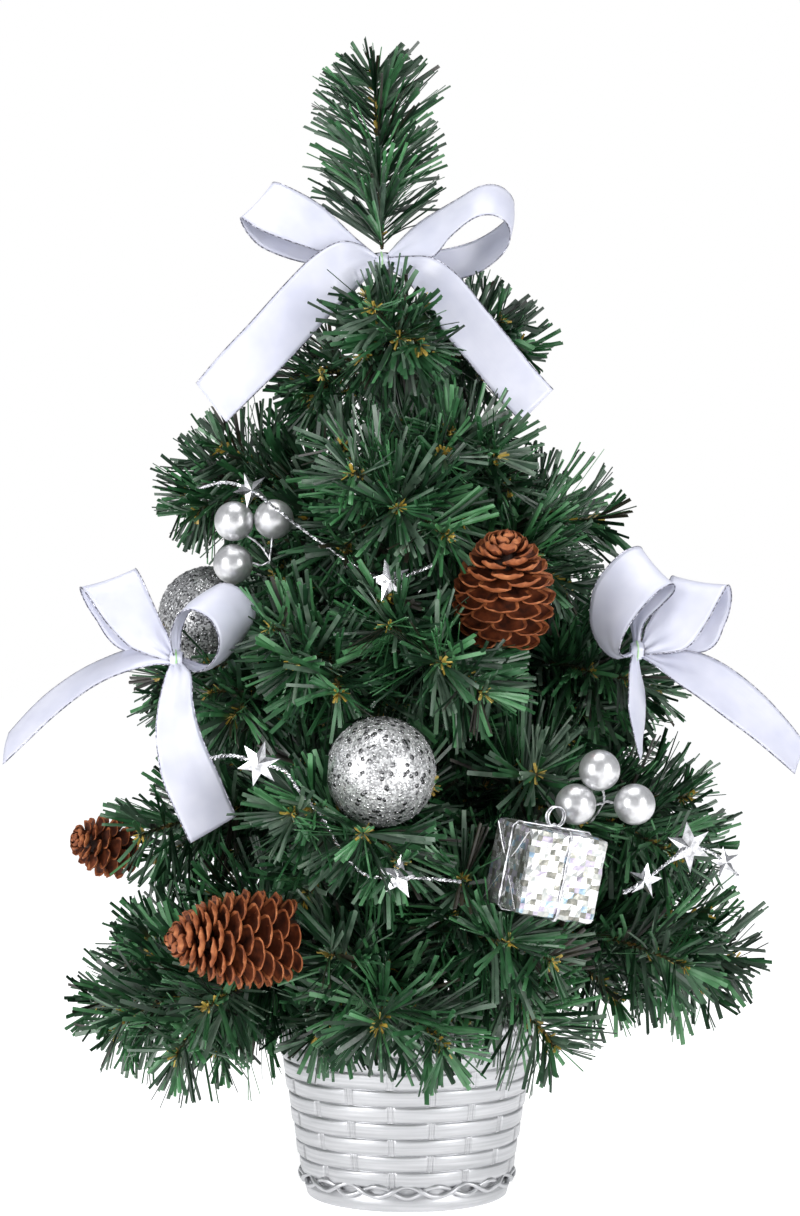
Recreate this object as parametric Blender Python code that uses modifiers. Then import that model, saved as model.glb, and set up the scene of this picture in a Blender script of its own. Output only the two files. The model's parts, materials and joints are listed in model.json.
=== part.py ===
"""An artificial tabletop tree: a silver basket pot, a taped trunk, twisted-wire branches that bend by hand,
and bows, glitter balls, pine cones, berries, a gift box and a star garland wired to them.

Metres, +Z up. The origin is the centre of the pot's underside, the front of the tree faces -Y and +X is to
the right. An azimuth of 0 points to the front and 90 points right.
"""

import math

import bmesh
import bpy
from mathutils import Matrix, Vector

MM = 0.001
GAP = 0.4 * MM

# Pot and filler
POT_HEIGHT = 70 * MM
POT_FOOT_RADIUS = 39 * MM
POT_RIM_RADIUS = 51 * MM
POT_WALL = 2.2 * MM
POT_LIP = 1.2 * MM
POT_FLOOR = 3 * MM
ROPE_HEIGHT = 9 * MM
ROPE_RADIUS = 2.4 * MM
FILLER_TOP = 45 * MM
SOCKET_DEPTH = 35 * MM
POT_SIDES = 40
ROD_SIDES = 16
SHARP_ANGLE = 35

# Trunk and the tape windings that hold the branch wires
TRUNK_RADIUS = 3.2 * MM
TRUNK_LEAN = -9.7 * MM
LOWEST_TIER = 34 * MM
TIER_SPACING = 55 * MM
TRUNK_ABOVE_TIERS = 41 * MM
BINDING_WALL = 2 * MM
BINDING_LENGTH = 12 * MM

# Brushes
WIRE_RADIUS = 1.2 * MM
BRUSH_RADIUS = 5.5 * MM
TOP_TIP_LENGTH = 79 * MM
TOP_TIP_RADIUS = 8 * MM
TOP_TIP_LEAN = Vector((-0.04, 0, 0))
SPRIG_SHARE = 0.85

# A brush's width along it, as (share of its length, share of its radius beyond the bare wire)
BRUSH_SHAPE = [(0, 0), (0.1, 0.1), (0.3, 0.7), (0.5, 1.0), (0.7, 0.95), (0.85, 0.85), (1, 0.35)]
TOP_TIP_SHAPE = [(0, 0), (0.08, 0.1), (0.2, 0.7), (0.4, 1), (0.7, 1), (0.9, 0.8), (1, 0.45)]

# Ornaments
RIBBON_THICKNESS = 0.8 * MM
KNOT_RADIUS = 3.2 * MM
KNOT_BACK = Vector((0, 1, 0)) * MM
TIE_WIRE_RADIUS = 0.6 * MM
TIE_RADIUS = 2 * MM
BALL_RADIUS = 20 * MM
BALL_WALL = 1.2 * MM
BALL_HOLE_RADIUS = 3 * MM
BALL_SIDES = 18
BALL_RINGS = 8
CONE_SIDES = 12
CONE_ROWS = 6
BERRY_RADIUS = 7.4 * MM
STEM_RADIUS = 0.8 * MM
GIFT_SIDE = 30 * MM
GIFT_WALL = 1.5 * MM
GIFT_HOLE_RADIUS = 2.5 * MM
GIFT_CORD_RADIUS = 0.8 * MM
GIFT_CORNER = 1.5 * MM
GIFT_EDGE = 1.2 * MM
GIFT_LOOP_RADIUS = 4 * MM
GIFT_TILT = 11
GIFT_TURN = 23
STRAND_RADIUS = 1 * MM
STAR_THICKNESS = 0.6 * MM
STAR_INNER_SHARE = 0.42

COLOURS = {
    "silver_pot": ((0.58, 0.59, 0.61), 0.35, 0.8),
    "cement": ((0.55, 0.54, 0.52), 0.9, 0.0),
    "green_tape": ((0.03, 0.10, 0.05), 0.7, 0.0),
    "needles": ((0.03, 0.16, 0.07), 0.5, 0.0),
    "ribbon": ((0.85, 0.85, 0.90), 0.35, 0.0),
    "tie_wire": ((0.45, 0.70, 0.45), 0.5, 0.0),
    "glitter": ((0.62, 0.62, 0.64), 0.3, 0.6),
    "pine_cone": ((0.36, 0.14, 0.06), 0.7, 0.0),
    "satin_silver": ((0.62, 0.62, 0.63), 0.3, 0.8),
    "silver_wire": ((0.70, 0.70, 0.72), 0.25, 1.0),
    "foil": ((0.70, 0.72, 0.76), 0.2, 0.9),
}

# Each branch: tier, azimuth and reach of its tip from the pot's axis, rise of the tip over the tier, and the
# height of its arch over a straight line. A sprig gives its start along the branch and its own tip.
BRANCHES = {
    "tier_1_front_branch": (1, -5, 120, -24, 6, []),
    "tier_1_front_right_branch": (1, 17.5, 124, 6, 2, [(0.42, 32, 106, -38)]),
    "tier_1_right_branch": (1, 90, 133, -16, 8, [(0.45, 66, 118, -12), (0.40, 116, 122, -16)]),
    "tier_1_back_branch": (1, 178, 128, -16, 6, [(0.35, 209, 124, -20), (0.35, 148, 124, -18)]),
    "tier_1_left_branch": (1, -90, 125, -33, 7, [(0.40, -117, 122, -16)]),
    "tier_1_front_left_branch": (1, -39, 118, -22, 2, [(0.40, -62, 124, -28)]),
    "tier_2_front_branch": (2, -7, 126, -9, -12, [(0.42, -22, 118, -5)]),
    "tier_2_front_right_branch": (2, 43, 97, -11, 0, []),
    "tier_2_right_branch": (2, 92, 121, -28, 6, [(0.45, 64, 116, -26), (0.45, 118, 116, -20)]),
    "tier_2_back_branch": (2, 165, 118, -14, 4, [(0.40, 188, 116, -10), (0.40, 143, 114, -12)]),
    "tier_2_left_branch": (2, -76, 109, -20, 2, [(0.40, -100, 106, -34), (0.40, -135, 114, -16)]),
    "tier_3_front_left_branch": (3, -24, 104, -7, 2, []),
    "tier_3_front_right_branch": (3, 7, 106, -7, 2, []),
    "tier_3_right_branch": (3, 67, 96, -16, 2, [(0.45, 96, 104, -20)]),
    "tier_3_back_branch": (3, 170, 104, -8, 4, [(0.40, 200, 102, -12), (0.40, 140, 100, -12)]),
    "tier_3_left_branch": (3, -78, 102, -15, 2, [(0.45, -118, 94, -24)]),
    "tier_3_left_front_branch": (3, -53, 98, -18, 0, []),
    "tier_4_front_branch": (4, -2, 95, -7, 2, []),
    "tier_4_front_right_branch": (4, 32, 71, 14, 0, []),
    "tier_4_right_branch": (4, 92, 80, -8, 2, [(0.40, 50, 74, -34), (0.45, 122, 80, -4)]),
    "tier_4_back_branch": (4, 176, 86, -8, 3, [(0.40, 210, 82, -12), (0.40, 148, 78, -8)]),
    "tier_4_left_branch": (4, -90, 91, 0, 2, [(0.45, -122, 84, -8)]),
    "tier_4_front_left_branch": (4, -51, 63, -28, 0, []),
    "tier_5_front_branch": (5, -2, 60, 0, 2, []),
    "tier_5_right_branch": (5, 78, 50, 4, 2, []),
    "tier_5_back_branch": (5, 178, 58, -4, 2, []),
    "tier_5_left_branch": (5, -66, 48, -20, 2, []),
}
TIERS = 5

# Ribbons: each strip is a list of ribs across the ribbon, from the knot outwards, in millimetres from the
# knot. A rib is its two edge points.
TOP_BOW = {
    "left_loop": [
        ((-1, 0, -1.5), (-1, 1, 1.5)), ((-16, -3, 1.5), (-11, 1, 10)), ((-32, -7, 6), (-23.4, 3, 22)),
        ((-46, -9, 11), (-36, 2, 29)), ((-53.8, -7, 16), (-42.2, 5, 31)), ((-51, -3, 10), (-40, 9, 25)),
        ((-44, 1, 4.6), (-34, 12, 20)), ((-27, 3, -0.4), (-20, 12, 13)), ((-1, 2.5, -1.5), (-1, 3, 1.5)),
    ],
    "right_loop": [
        ((1, 0, -1.5), (1, 1, 1.5)), ((10, -3, -1), (6.5, 2, 8)), ((19.6, -7, 1), (15, 4, 16)),
        ((26.5, -8, 8.8), (29.4, 6, 25)), ((35, -8, 15.5), (38, 7, 30)), ((42, -7, 17), (45, 9, 30.5)),
        ((47.5, -5, 14.5), (50, 11, 27)), ((49.3, -2, 9), (51, 13, 22)), ((46, 0, 2.5), (46, 15, 16)),
        ((37, 2, -4), (36, 16, 10)), ((26, 3, -6.3), (23, 12, 6)), ((10, 3, -3), (9, 7, 4)),
        ((1, 2.5, -1.5), (1, 3, 1.5)),
    ],
    "left_tail": [
        ((-1, 0, 1.5), (-1, 0, -2)), ((-8, -4, 5.8), (-5, -4, -6)), ((-16, -9, 6.5), (-11, -8, -12.5)),
        ((-26, -12, 0.5), (-17, -12, -19)), ((-37, -13, -10.5), (-26, -14, -29)),
        ((-50, -13, -25), (-38, -16, -42)), ((-61, -12, -36.5), (-49, -16, -53)),
        ((-70.5, -11, -47.6), (-58.8, -16, -62.6)),
    ],
    "right_tail": [
        ((1, 0, 1.5), (1, 0, -2)), ((10, -5, 1.5), (7, -5, -6)), ((19.6, -11, 0), (12, -10, -11)),
        ((29, -14, -7), (18, -14, -19)), ((38, -14, -18), (24, -16, -29)), ((48, -13, -30), (34, -16, -41)),
        ((57, -12, -41), (43, -16, -52)), ((65.3, -11, -50), (53, -16, -62.6)),
    ],
}
LEFT_BOW = {
    "left_loop": [
        ((-1, 0, -1), (-1, 0.5, 2)), ((-11, -3, 2.5), (-3, 0, 9)), ((-17, -5, 5.5), (-5.5, 0, 14)),
        ((-25, -6, 14), (-9, 2, 21.5)), ((-31.8, -4, 23.7), (-13, 4, 30)), ((-35, 0, 26.5), (-15.5, 8, 33.5)),
        ((-34, 4, 22), (-15, 12, 30)), ((-30.3, 6, 15.5), (-11.5, 14, 22)), ((-21.4, 6, 4.3), (-8, 10, 11)),
        ((-1, 2.5, -1), (-1, 3, 2)),
    ],
    "right_loop": [
        ((0, 0, -1), (1, 1, 2)), ((-1.5, -6, 8), (2, 2, 12)), ((0.5, -9, 14.5), (6, 4, 20)),
        ((3.5, -11, 18), (12, 5, 26)), ((8, -12, 18), (18, 5, 28)), ((13.6, -12, 14.3), (25, 5, 24.5)),
        ((16.3, -11, 8), (28.6, 6, 17.5)), ((15.5, -9, 2.5), (25.5, 7, 10)), ((12.5, -7, -1.6), (19.5, 6, 2)),
        ((7.6, -4, -4), (12, 4, -2)), ((1, 1, -2), (1.5, 2, 1)),
    ],
    "left_tail": [
        ((-1, 1, 1.5), (-1, 0, -1.5)), ((-9, 3, 4), (-8, -4, -1.5)), ((-17, 6, 4), (-16, -8, -3.5)),
        ((-27, 8, 0.5), (-25, -8, -7)), ((-37, 9, -4.5), (-34, -8, -12.5)),
        ((-47, 9, -11.5), (-44, -8, -20.5)), ((-55, 8, -19), (-52, -8, -28)),
        ((-62, 7, -27), (-62, -8, -37.5)),
    ],
    "right_tail": [
        ((-1.5, 0, -1), (2, 0, -1)), ((-3.5, -5, -6), (5.8, -5, -5)), ((-5.5, -9, -15), (6.5, -7, -14)),
        ((-6.3, -12, -25), (8.5, -7, -23.5)), ((-5.5, -13, -34), (11.5, -6, -32)),
        ((-3.5, -12, -44), (16, -5, -42)), ((1, -10, -55), (19, -4, -49.5)),
        ((5.8, -8, -66), (22.1, -3, -56.6)),
    ],
}
RIGHT_BOW = {
    "left_loop": [
        ((-1.5, 1, -1), (-1, -1, -1)), ((-8, 1, -3), (-5, -5, -2)), ((-14, 2, 2), (-7.4, -10, 0.5)),
        ((-17.3, 3, 11), (-5.5, -12, 7)), ((-16, 3, 23), (-1.5, -11, 13)), ((-11, 3, 31), (4, -10, 19.5)),
        ((-4.5, 5, 37), (9, -8, 23.5)), ((1.2, 8, 39), (13, -5, 24.8)), ((3, 12, 36), (13.5, -1, 22)),
        ((0, 12, 28), (9, 0.5, 17)), ((-3, 9, 16), (3, 0.5, 11)), ((-1, 5, 5), (1, 1, 4)),
        ((-1, 2, -1), (1, 1, -1)),
    ],
    "right_loop": [
        ((1, 1, 1), (1, 0, -1.5)), ((3.5, 1, 9), (10, -4, -0.6)), ((6.8, 2, 15.4), (18, -7, 1.5)),
        ((9.5, 3, 21), (24.5, -8, 10)), ((12.3, 5, 26), (29.5, -7, 19)), ((14, 9, 28), (33.5, -3, 24.5)),
        ((16, 13, 26), (35.1, 1, 19)), ((14, 14, 18), (33, 4, 10)), ((9, 9, 8), (26, 5, 0)),
        ((1, 3, 1), (1, 2, -1.5)),
    ],
    "right_tail": [
        ((1, 0, 1), (1, 0, -2)), ((10, 1, -1), (7, -5, -6)), ((19, 3, 0), (14, -8, -11.5)),
        ((28, 4, -2.5), (22, -9, -17)), ((38, 5, -8.5), (32, -9, -24.5)), ((48, 5, -17), (42, -9, -32)),
        ((57, 4, -27), (51, -9, -39.5)), ((63, 3, -35), (57.3, -9, -45)),
    ],
    "left_tail": [
        ((-2, -1, -1), (0, 1, -1)), ((-3.5, -6, -6), (1, 2, -6)), ((-4, -10, -14), (3, 7, -13)),
        ((-4, -12, -22), (3.7, 8, -20)), ((-2, -11, -31), (3.4, 9, -28)), ((0.3, -9, -40), (2, 8, -35)),
    ],
}
# Each tied bow: its strips, the branch it is wired to and its knot's place from that branch's tip. The top
# bow's knot is placed from the trunk's top.
BOWS = {
    "top_bow": (TOP_BOW, None, Vector((0, -14, -5)) * MM),
    "left_bow": (LEFT_BOW, "tier_3_left_front_branch", Vector((-6, -11, 12)) * MM),
    "right_bow": (RIGHT_BOW, "tier_3_right_branch", Vector((-3, -13, 13)) * MM),
}

# Each ball: its branch, the share along it that it rests on, and the side of the brush it rests against
BALLS = {
    "front_ball": ("tier_2_front_branch", 0.75, Vector((0.12, 0.15, 1.0))),
    "left_ball": ("tier_3_left_branch", 0.65, Vector((-0.05, 0.70, 0.70))),
}

# Each pine cone: its branch, the share along it and the place of its middle from there, the direction of its
# apex, its length and its radius
CONES = {
    "upper_right_cone": (
        "tier_4_right_branch", 0.45, Vector((-1, -79, -33)) * MM, (0.03, -0.45, 0.9), 44 * MM, 18.5 * MM),
    "lower_left_cone": (
        "tier_1_front_left_branch", 1, Vector((14, -18, 29)) * MM, (-0.95, -0.25, 0.02), 49 * MM, 17 * MM),
    "small_left_cone": (
        "tier_2_left_branch", 1, Vector((-13, 36, -5)) * MM, (-0.85, -0.45, 0.25), 28 * MM, 12.5 * MM),
}

# The gift box hangs on its branch by its back upper corner, so a larger box reaches further out
GIFT_BRANCH = "tier_2_front_right_branch"
GIFT_CORNER_PLACE = Vector((0, -12, -6)) * MM
GIFT_MIDDLE_SHARE = Vector((-0.6, -0.9, -0.23))

BERRY_PICKS = {
    "upper": ("tier_4_front_left_branch", Vector((-1, -10, 2)) * MM,
              [Vector((-1.95, 0.1, 2.2)), Vector((0.05, 0.1, 2.3)), Vector((-2.0, 0.1, 0.05))]),
    "lower": ("tier_2_front_right_branch", Vector((4, -10, 8)) * MM,
              [Vector((-0.2, -1.0, 1.75)), Vector((-1.35, -1.0, 0.1)), Vector((1.5, -1.0, 0.1))]),
}

# Star strands: the branch each rides on, its route in millimetres from that branch's tip, and its stars as
# (route point, radius, points).
STRANDS = {
    "upper_garland_strand": (
        "tier_4_front_branch",
        [(-74, 50, 9.5), (-64, 38, 11), (-54, 33, 8), (-46, 33, 2), (-37, 33, -5), (-26, 29, -13),
         (-14, 20, -21), (-3, 11, -25.5), (5, 8, -23), (12, 9, -20)],
        [(2, 7.0, 5), (7, 8.0, 5)],
    ),
    "middle_garland_strand": (
        "tier_2_front_branch",
        [(-55, 30, 24), (-46, 25, 25), (-37, 20, 22.5), (-28, 18, 20), (-22, 18, 12), (-15, 19, 4),
         (-7, 16, -9), (1, 12, -16), (12, 10, -16.5), (24, 9, -17), (34, 9, -18)],
        [(2, 8.5, 6), (8, 8.0, 5)],
    ),
    "right_garland_strand": (
        "tier_2_right_branch",
        [(-44, -96, -6), (-36, -90, -2), (-27, -84, 4), (-19, -78, 9), (-11, -70, 7), (-4, -62, 2),
         (2, -55, -4)],
        [(1, 6.5, 5), (3, 9.5, 6), (5, 6.0, 5)],
    ),
}


# Helpers


def clear_scene():
    for obj in list(bpy.data.objects):
        bpy.data.objects.remove(obj, do_unlink=True)


def make_collection(name):
    collection = bpy.data.collections.new(name)
    bpy.context.scene.collection.children.link(collection)
    return collection


def material(name):
    found = bpy.data.materials.get(name)
    if found:
        return found
    colour, roughness, metallic = COLOURS[name]
    made = bpy.data.materials.new(name)
    made.use_nodes = True
    shader = made.node_tree.nodes["Principled BSDF"]
    shader.inputs["Base Color"].default_value = (*colour, 1)
    shader.inputs["Roughness"].default_value = roughness
    shader.inputs["Metallic"].default_value = metallic
    return made


def add(name, data, where, slot=None, smooth=False):
    """A new object in a collection, with its material and shading."""
    obj = bpy.data.objects.new(name, data)
    where.objects.link(obj)
    if slot:
        data.materials.append(material(slot))
    if smooth:
        data.shade_smooth()
        data.set_sharp_from_angle(angle=math.radians(SHARP_ANGLE))
    return obj


def mesh_from(bm, name):
    mesh = bpy.data.meshes.new(name)
    bm.to_mesh(mesh)
    bm.free()
    return mesh


def polar(azimuth, reach, height):
    """The point at an azimuth in degrees, a reach from the pot's axis and a height."""
    turn = math.radians(azimuth)
    return Vector((reach * math.sin(turn), -reach * math.cos(turn), height))


def smooth_path(points, steps):
    """Points of a Catmull-Rom curve through the given points."""
    ends = [2 * points[0] - points[1], *points, 2 * points[-1] - points[-2]]
    out = []
    for i in range(1, len(ends) - 2):
        a, b, c, d = ends[i - 1 : i + 3]
        for k in range(steps):
            t = k / steps
            out.append(
                0.5 * (2 * b + (c - a) * t + (2 * a - 5 * b + 4 * c - d) * t**2
                       + (3 * b - a - 3 * c + d) * t**3)
            )
    out.append(points[-1])
    return out


def tube(name, points, radii, where, cyclic=False, sides=2):
    """A curve along the points, as thick as the radii say, with filled caps."""
    curve = bpy.data.curves.new(name, "CURVE")
    curve.dimensions = "3D"
    curve.bevel_depth = 1.0
    curve.bevel_resolution = sides
    curve.use_fill_caps = not cyclic
    spline = curve.splines.new("POLY")
    spline.points.add(len(points) - 1)
    for place, point, radius in zip(spline.points, points, radii):
        place.co = (*point, 1)
        place.radius = radius
    spline.use_cyclic_u = cyclic
    obj = bpy.data.objects.new(name, curve)
    where.objects.link(obj)
    return obj


def to_mesh_object(obj, where):
    """The object with its curve or modifiers made a plain closed mesh."""
    bpy.context.view_layer.update()
    evaluated = obj.evaluated_get(bpy.context.evaluated_depsgraph_get())
    mesh = bpy.data.meshes.new_from_object(evaluated)
    bm = bmesh.new()
    bm.from_mesh(mesh)
    bmesh.ops.remove_doubles(bm, verts=bm.verts, dist=0.00001)
    bmesh.ops.recalc_face_normals(bm, faces=bm.faces)
    bm.to_mesh(mesh)
    bm.free()
    name = obj.name
    place = obj.matrix_world.copy()
    data = obj.data
    bpy.data.objects.remove(obj, do_unlink=True)
    if isinstance(data, bpy.types.Curve):
        bpy.data.curves.remove(data)
    made = bpy.data.objects.new(name, mesh)
    made.matrix_world = place
    where.objects.link(made)
    return made


def boolean(target, cutter, operation):
    """Adds a Boolean and hides its cutter."""
    cut = target.modifiers.new(operation.lower(), "BOOLEAN")
    cut.operation = operation
    cut.object = cutter
    cut.solver = "EXACT"
    cutter.hide_render = True
    cutter.display_type = "WIRE"


def union(name, pieces, slot, smooth=True):
    """One body made from overlapping pieces, in the tree's collection."""
    first, *others = [to_mesh_object(piece, cutters) for piece in pieces]
    for other in others:
        boolean(first, other, "UNION")
    body = to_mesh_object(first, cutters)
    for other in others:
        bpy.data.objects.remove(other, do_unlink=True)
    cutters.objects.unlink(body)
    tree.objects.link(body)
    body.name = name
    body.data.name = name
    body.data.materials.clear()
    body.data.materials.append(material(slot))
    if smooth:
        body.data.shade_smooth()
        body.data.set_sharp_from_angle(angle=math.radians(SHARP_ANGLE))
    return body


def turned(name, profile, slot, segments):
    """A turned body: a profile of (radius, height) points, run down its outer side, round the Z axis."""
    bm = bmesh.new()
    verts = [bm.verts.new((radius, 0, height)) for radius, height in profile]
    for a, b in zip(verts, verts[1:]):
        bm.edges.new((a, b))
    obj = add(name, mesh_from(bm, name), tree, slot)
    screw = obj.modifiers.new("turn", "SCREW")
    screw.steps = segments
    screw.render_steps = segments
    screw.use_merge_vertices = True
    screw.merge_threshold = 0.00001
    screw.use_smooth_shade = True
    return obj


def hang(obj, branch):
    """Parents a piece to the empty on its branch's bending axis, where it already is."""
    hinge = hinges[branch]
    obj.parent = hinge
    obj.matrix_parent_inverse = Matrix.Translation(-hinge.location)


# Trunk line and branches


def tier_height(tier):
    return POT_HEIGHT + LOWEST_TIER + (tier - 1) * TIER_SPACING


def trunk_top():
    return tier_height(TIERS) + TRUNK_ABOVE_TIERS


def trunk_foot():
    return FILLER_TOP - SOCKET_DEPTH


def trunk_point(height):
    """The trunk's axis at a height: it leans from its foot in the filler."""
    share = (height - trunk_foot()) / (trunk_top() - trunk_foot())
    return Vector((TRUNK_LEAN * share, 0, height))


def branch_root(tier, azimuth):
    """Where a branch's wire comes out of its binding and bends."""
    out = TRUNK_RADIUS + GAP + BINDING_WALL + GAP + WIRE_RADIUS
    return trunk_point(tier_height(tier)) + polar(azimuth, out, 0)


def arched(root, tip, arch, share):
    rise = 4 * arch * share * (1 - share)
    return root.lerp(tip, share) + Vector((0, 0, rise))


def branch_point(name, share):
    tier, azimuth, reach, rise, arch, _ = BRANCHES[name]
    tip = polar(azimuth, reach * MM, tier_height(tier) + rise * MM)
    return arched(branch_root(tier, azimuth), tip, arch * MM, share)


def add_hinge(name, body, place):
    """Puts a body's origin and an empty on the axis that it bends about."""
    hinge = bpy.data.objects.new(name.replace("_branch", "") + "_hinge", None)
    hinge.location = place
    hinge.empty_display_size = 0.01
    tree.objects.link(hinge)
    hinges[name] = hinge
    body.data.transform(Matrix.Translation(-place))
    body.location = place
    hang(body, name)


def brush(name, root, tip, arch, radius, shape=BRUSH_SHAPE):
    """A twisted-wire brush: bare wire at its root, widest past its middle and rounded at its tip."""
    points = [arched(root, tip, arch, share) for share, _ in shape]
    radii = [WIRE_RADIUS + (radius - WIRE_RADIUS) * width for _, width in shape]
    return tube(name, points, radii, cutters)


def make_branch(name):
    tier, azimuth, reach, rise, arch, sprigs = BRANCHES[name]
    root = branch_root(tier, azimuth)
    parts = [brush(name, root, branch_point(name, 1), arch * MM, BRUSH_RADIUS)]
    for number, (start, sprig_azimuth, sprig_reach, sprig_rise) in enumerate(sprigs):
        base = branch_point(name, start)
        tip = polar(sprig_azimuth, sprig_reach * MM, tier_height(tier) + sprig_rise * MM)
        parts.append(brush(f"{name}_sprig_{number}", base, tip, 0, BRUSH_RADIUS * SPRIG_SHARE))
    add_hinge(name, union(name, parts, "needles"), root)


def make_top_tip():
    root = trunk_point(trunk_top()) + Vector((0, 0, GAP + WIRE_RADIUS))
    lean = (trunk_point(trunk_top()) - trunk_point(trunk_foot())).normalized() + TOP_TIP_LEAN
    tip = root + lean.normalized() * TOP_TIP_LENGTH
    body = brush("top_tip", root, tip, 0, TOP_TIP_RADIUS, TOP_TIP_SHAPE)
    add_hinge("top_tip", union("top_tip", [body], "needles"), root)


# Pot, filler, trunk, bindings


def make_pot():
    slope = (POT_RIM_RADIUS - POT_FOOT_RADIUS) / POT_HEIGHT
    rope_wall = POT_FOOT_RADIUS + slope * ROPE_HEIGHT
    profile = [
        (0, POT_FLOOR),
        (POT_FOOT_RADIUS - POT_WALL, POT_FLOOR),
        (POT_RIM_RADIUS - POT_WALL, POT_HEIGHT),
        (POT_RIM_RADIUS + POT_LIP, POT_HEIGHT),
        (POT_RIM_RADIUS + POT_LIP, POT_HEIGHT - 2 * POT_LIP),
        (POT_RIM_RADIUS - slope * 3 * POT_LIP, POT_HEIGHT - 3 * POT_LIP),
        (rope_wall + slope * ROPE_RADIUS, ROPE_HEIGHT + ROPE_RADIUS),
        (rope_wall + ROPE_RADIUS * 0.7, ROPE_HEIGHT + ROPE_RADIUS * 0.7),
        (rope_wall + ROPE_RADIUS, ROPE_HEIGHT),
        (rope_wall + ROPE_RADIUS * 0.7, ROPE_HEIGHT - ROPE_RADIUS * 0.7),
        (rope_wall - slope * ROPE_RADIUS, ROPE_HEIGHT - ROPE_RADIUS),
        (POT_FOOT_RADIUS, 0),
        (0, 0),
    ]
    return turned("pot", profile, "silver_pot", POT_SIDES)


def trunk_rod(name, radius, low, high, where):
    """A rod on the trunk's axis between two heights."""
    a, b = trunk_point(low), trunk_point(high)
    bm = bmesh.new()
    bmesh.ops.create_cone(
        bm, cap_ends=True, segments=ROD_SIDES, radius1=radius, radius2=radius, depth=(b - a).length
    )
    turn = (b - a).to_track_quat("Z", "Y").to_matrix().to_4x4()
    bm.transform(Matrix.Translation((a + b) / 2) @ turn)
    return add(name, mesh_from(bm, name), where)


def make_filler():
    slope = (POT_RIM_RADIUS - POT_FOOT_RADIUS) / (POT_HEIGHT - POT_FLOOR)
    bottom = POT_FLOOR + GAP
    inner = POT_FOOT_RADIUS - POT_WALL - GAP
    profile = [
        (0, FILLER_TOP),
        (inner + slope * (FILLER_TOP - POT_FLOOR), FILLER_TOP),
        (inner, bottom),
        (0, bottom),
    ]
    filler = turned("pot_filler", profile, "cement", POT_SIDES)
    socket = trunk_rod(
        "trunk_socket", TRUNK_RADIUS + GAP, trunk_foot() - GAP, FILLER_TOP + SOCKET_DEPTH, cutters
    )
    boolean(filler, socket, "DIFFERENCE")


def make_trunk():
    trunk = trunk_rod("trunk", TRUNK_RADIUS, trunk_foot(), trunk_top(), tree)
    trunk.data.materials.append(material("green_tape"))
    trunk.data.shade_smooth()
    trunk.data.set_sharp_from_angle(angle=math.radians(SHARP_ANGLE))


def make_binding(tier):
    """A sleeve of wound tape that holds the ends of a tier's branch wires on the trunk."""
    middle = tier_height(tier)
    low, high = middle - BINDING_LENGTH / 2, middle + BINDING_LENGTH / 2
    name = f"tier_{tier}_binding"
    outer = TRUNK_RADIUS + GAP + BINDING_WALL
    body = trunk_rod(name, outer, low, high, tree)
    bore = trunk_rod(
        f"{name}_bore", TRUNK_RADIUS + GAP, low - BINDING_LENGTH, high + BINDING_LENGTH, cutters
    )
    body.data.materials.append(material("green_tape"))
    boolean(body, bore, "DIFFERENCE")


# Ornaments


def ribbon_strip(name, ribs, knot, steps):
    """A strip through its ribs, thickened: a grid whose rows are laid across the ribbon."""
    near = smooth_path([knot + Vector(a) * MM for a, _ in ribs], steps)
    far = smooth_path([knot + Vector(b) * MM for _, b in ribs], steps)
    bm = bmesh.new()
    bmesh.ops.create_grid(bm, x_segments=len(near) - 1, y_segments=1, size=1)
    bm.verts.ensure_lookup_table()
    for vert in bm.verts:
        row = round((vert.co.x + 1) / 2 * (len(near) - 1))
        vert.co = near[row] if vert.co.y < 0 else far[row]
    obj = add(name, mesh_from(bm, name), cutters)
    thicken = obj.modifiers.new("thickness", "SOLIDIFY")
    thicken.thickness = RIBBON_THICKNESS
    thicken.offset = 0
    return obj


def ball_mesh(radius, segments, rings):
    bm = bmesh.new()
    bmesh.ops.create_uvsphere(bm, u_segments=segments, v_segments=rings, radius=radius)
    return bm


def make_bow(name, strips, knot, branch):
    parts = []
    knot_bm = ball_mesh(KNOT_RADIUS, 12, 8)
    knot_bm.transform(Matrix.Translation(knot + KNOT_BACK))
    parts.append(add(f"{name}_knot", mesh_from(knot_bm, name), cutters))
    for strip, ribs in strips.items():
        parts.append(ribbon_strip(f"{name}_{strip}", ribs, knot, 2))
    bow = union(name, parts, "ribbon")
    behind = knot + KNOT_BACK + Vector((0, KNOT_RADIUS + GAP + TIE_WIRE_RADIUS + TIE_RADIUS, 0))
    ring = [
        behind + TIE_RADIUS * Vector((0, math.cos(turn), math.sin(turn)))
        for turn in (2 * math.pi * k / 12 for k in range(12))
    ]
    tie = tube(f"{name}_tie", ring, [TIE_WIRE_RADIUS] * 12, tree, cyclic=True, sides=1)
    tie.data.materials.append(material("tie_wire"))
    if branch:
        hang(bow, branch)
        hang(tie, branch)


def make_ball(name, centre, branch):
    """A hollow glitter ball with a hole below for its wire."""
    outer_hole = math.asin(BALL_HOLE_RADIUS / BALL_RADIUS)
    inner_radius = BALL_RADIUS - BALL_WALL
    inner_hole = math.asin(BALL_HOLE_RADIUS / inner_radius)
    outer = [
        (BALL_RADIUS * math.sin(turn), BALL_RADIUS * math.cos(turn))
        for turn in (k * (math.pi - outer_hole) / BALL_RINGS for k in range(BALL_RINGS + 1))
    ]
    inner = [
        (inner_radius * math.sin(turn), inner_radius * math.cos(turn))
        for turn in (k * (math.pi - inner_hole) / BALL_RINGS for k in range(BALL_RINGS + 1))
    ]
    ball = turned(name, outer + inner[::-1], "glitter", BALL_SIDES)
    ball.location = centre
    hang(ball, branch)


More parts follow.
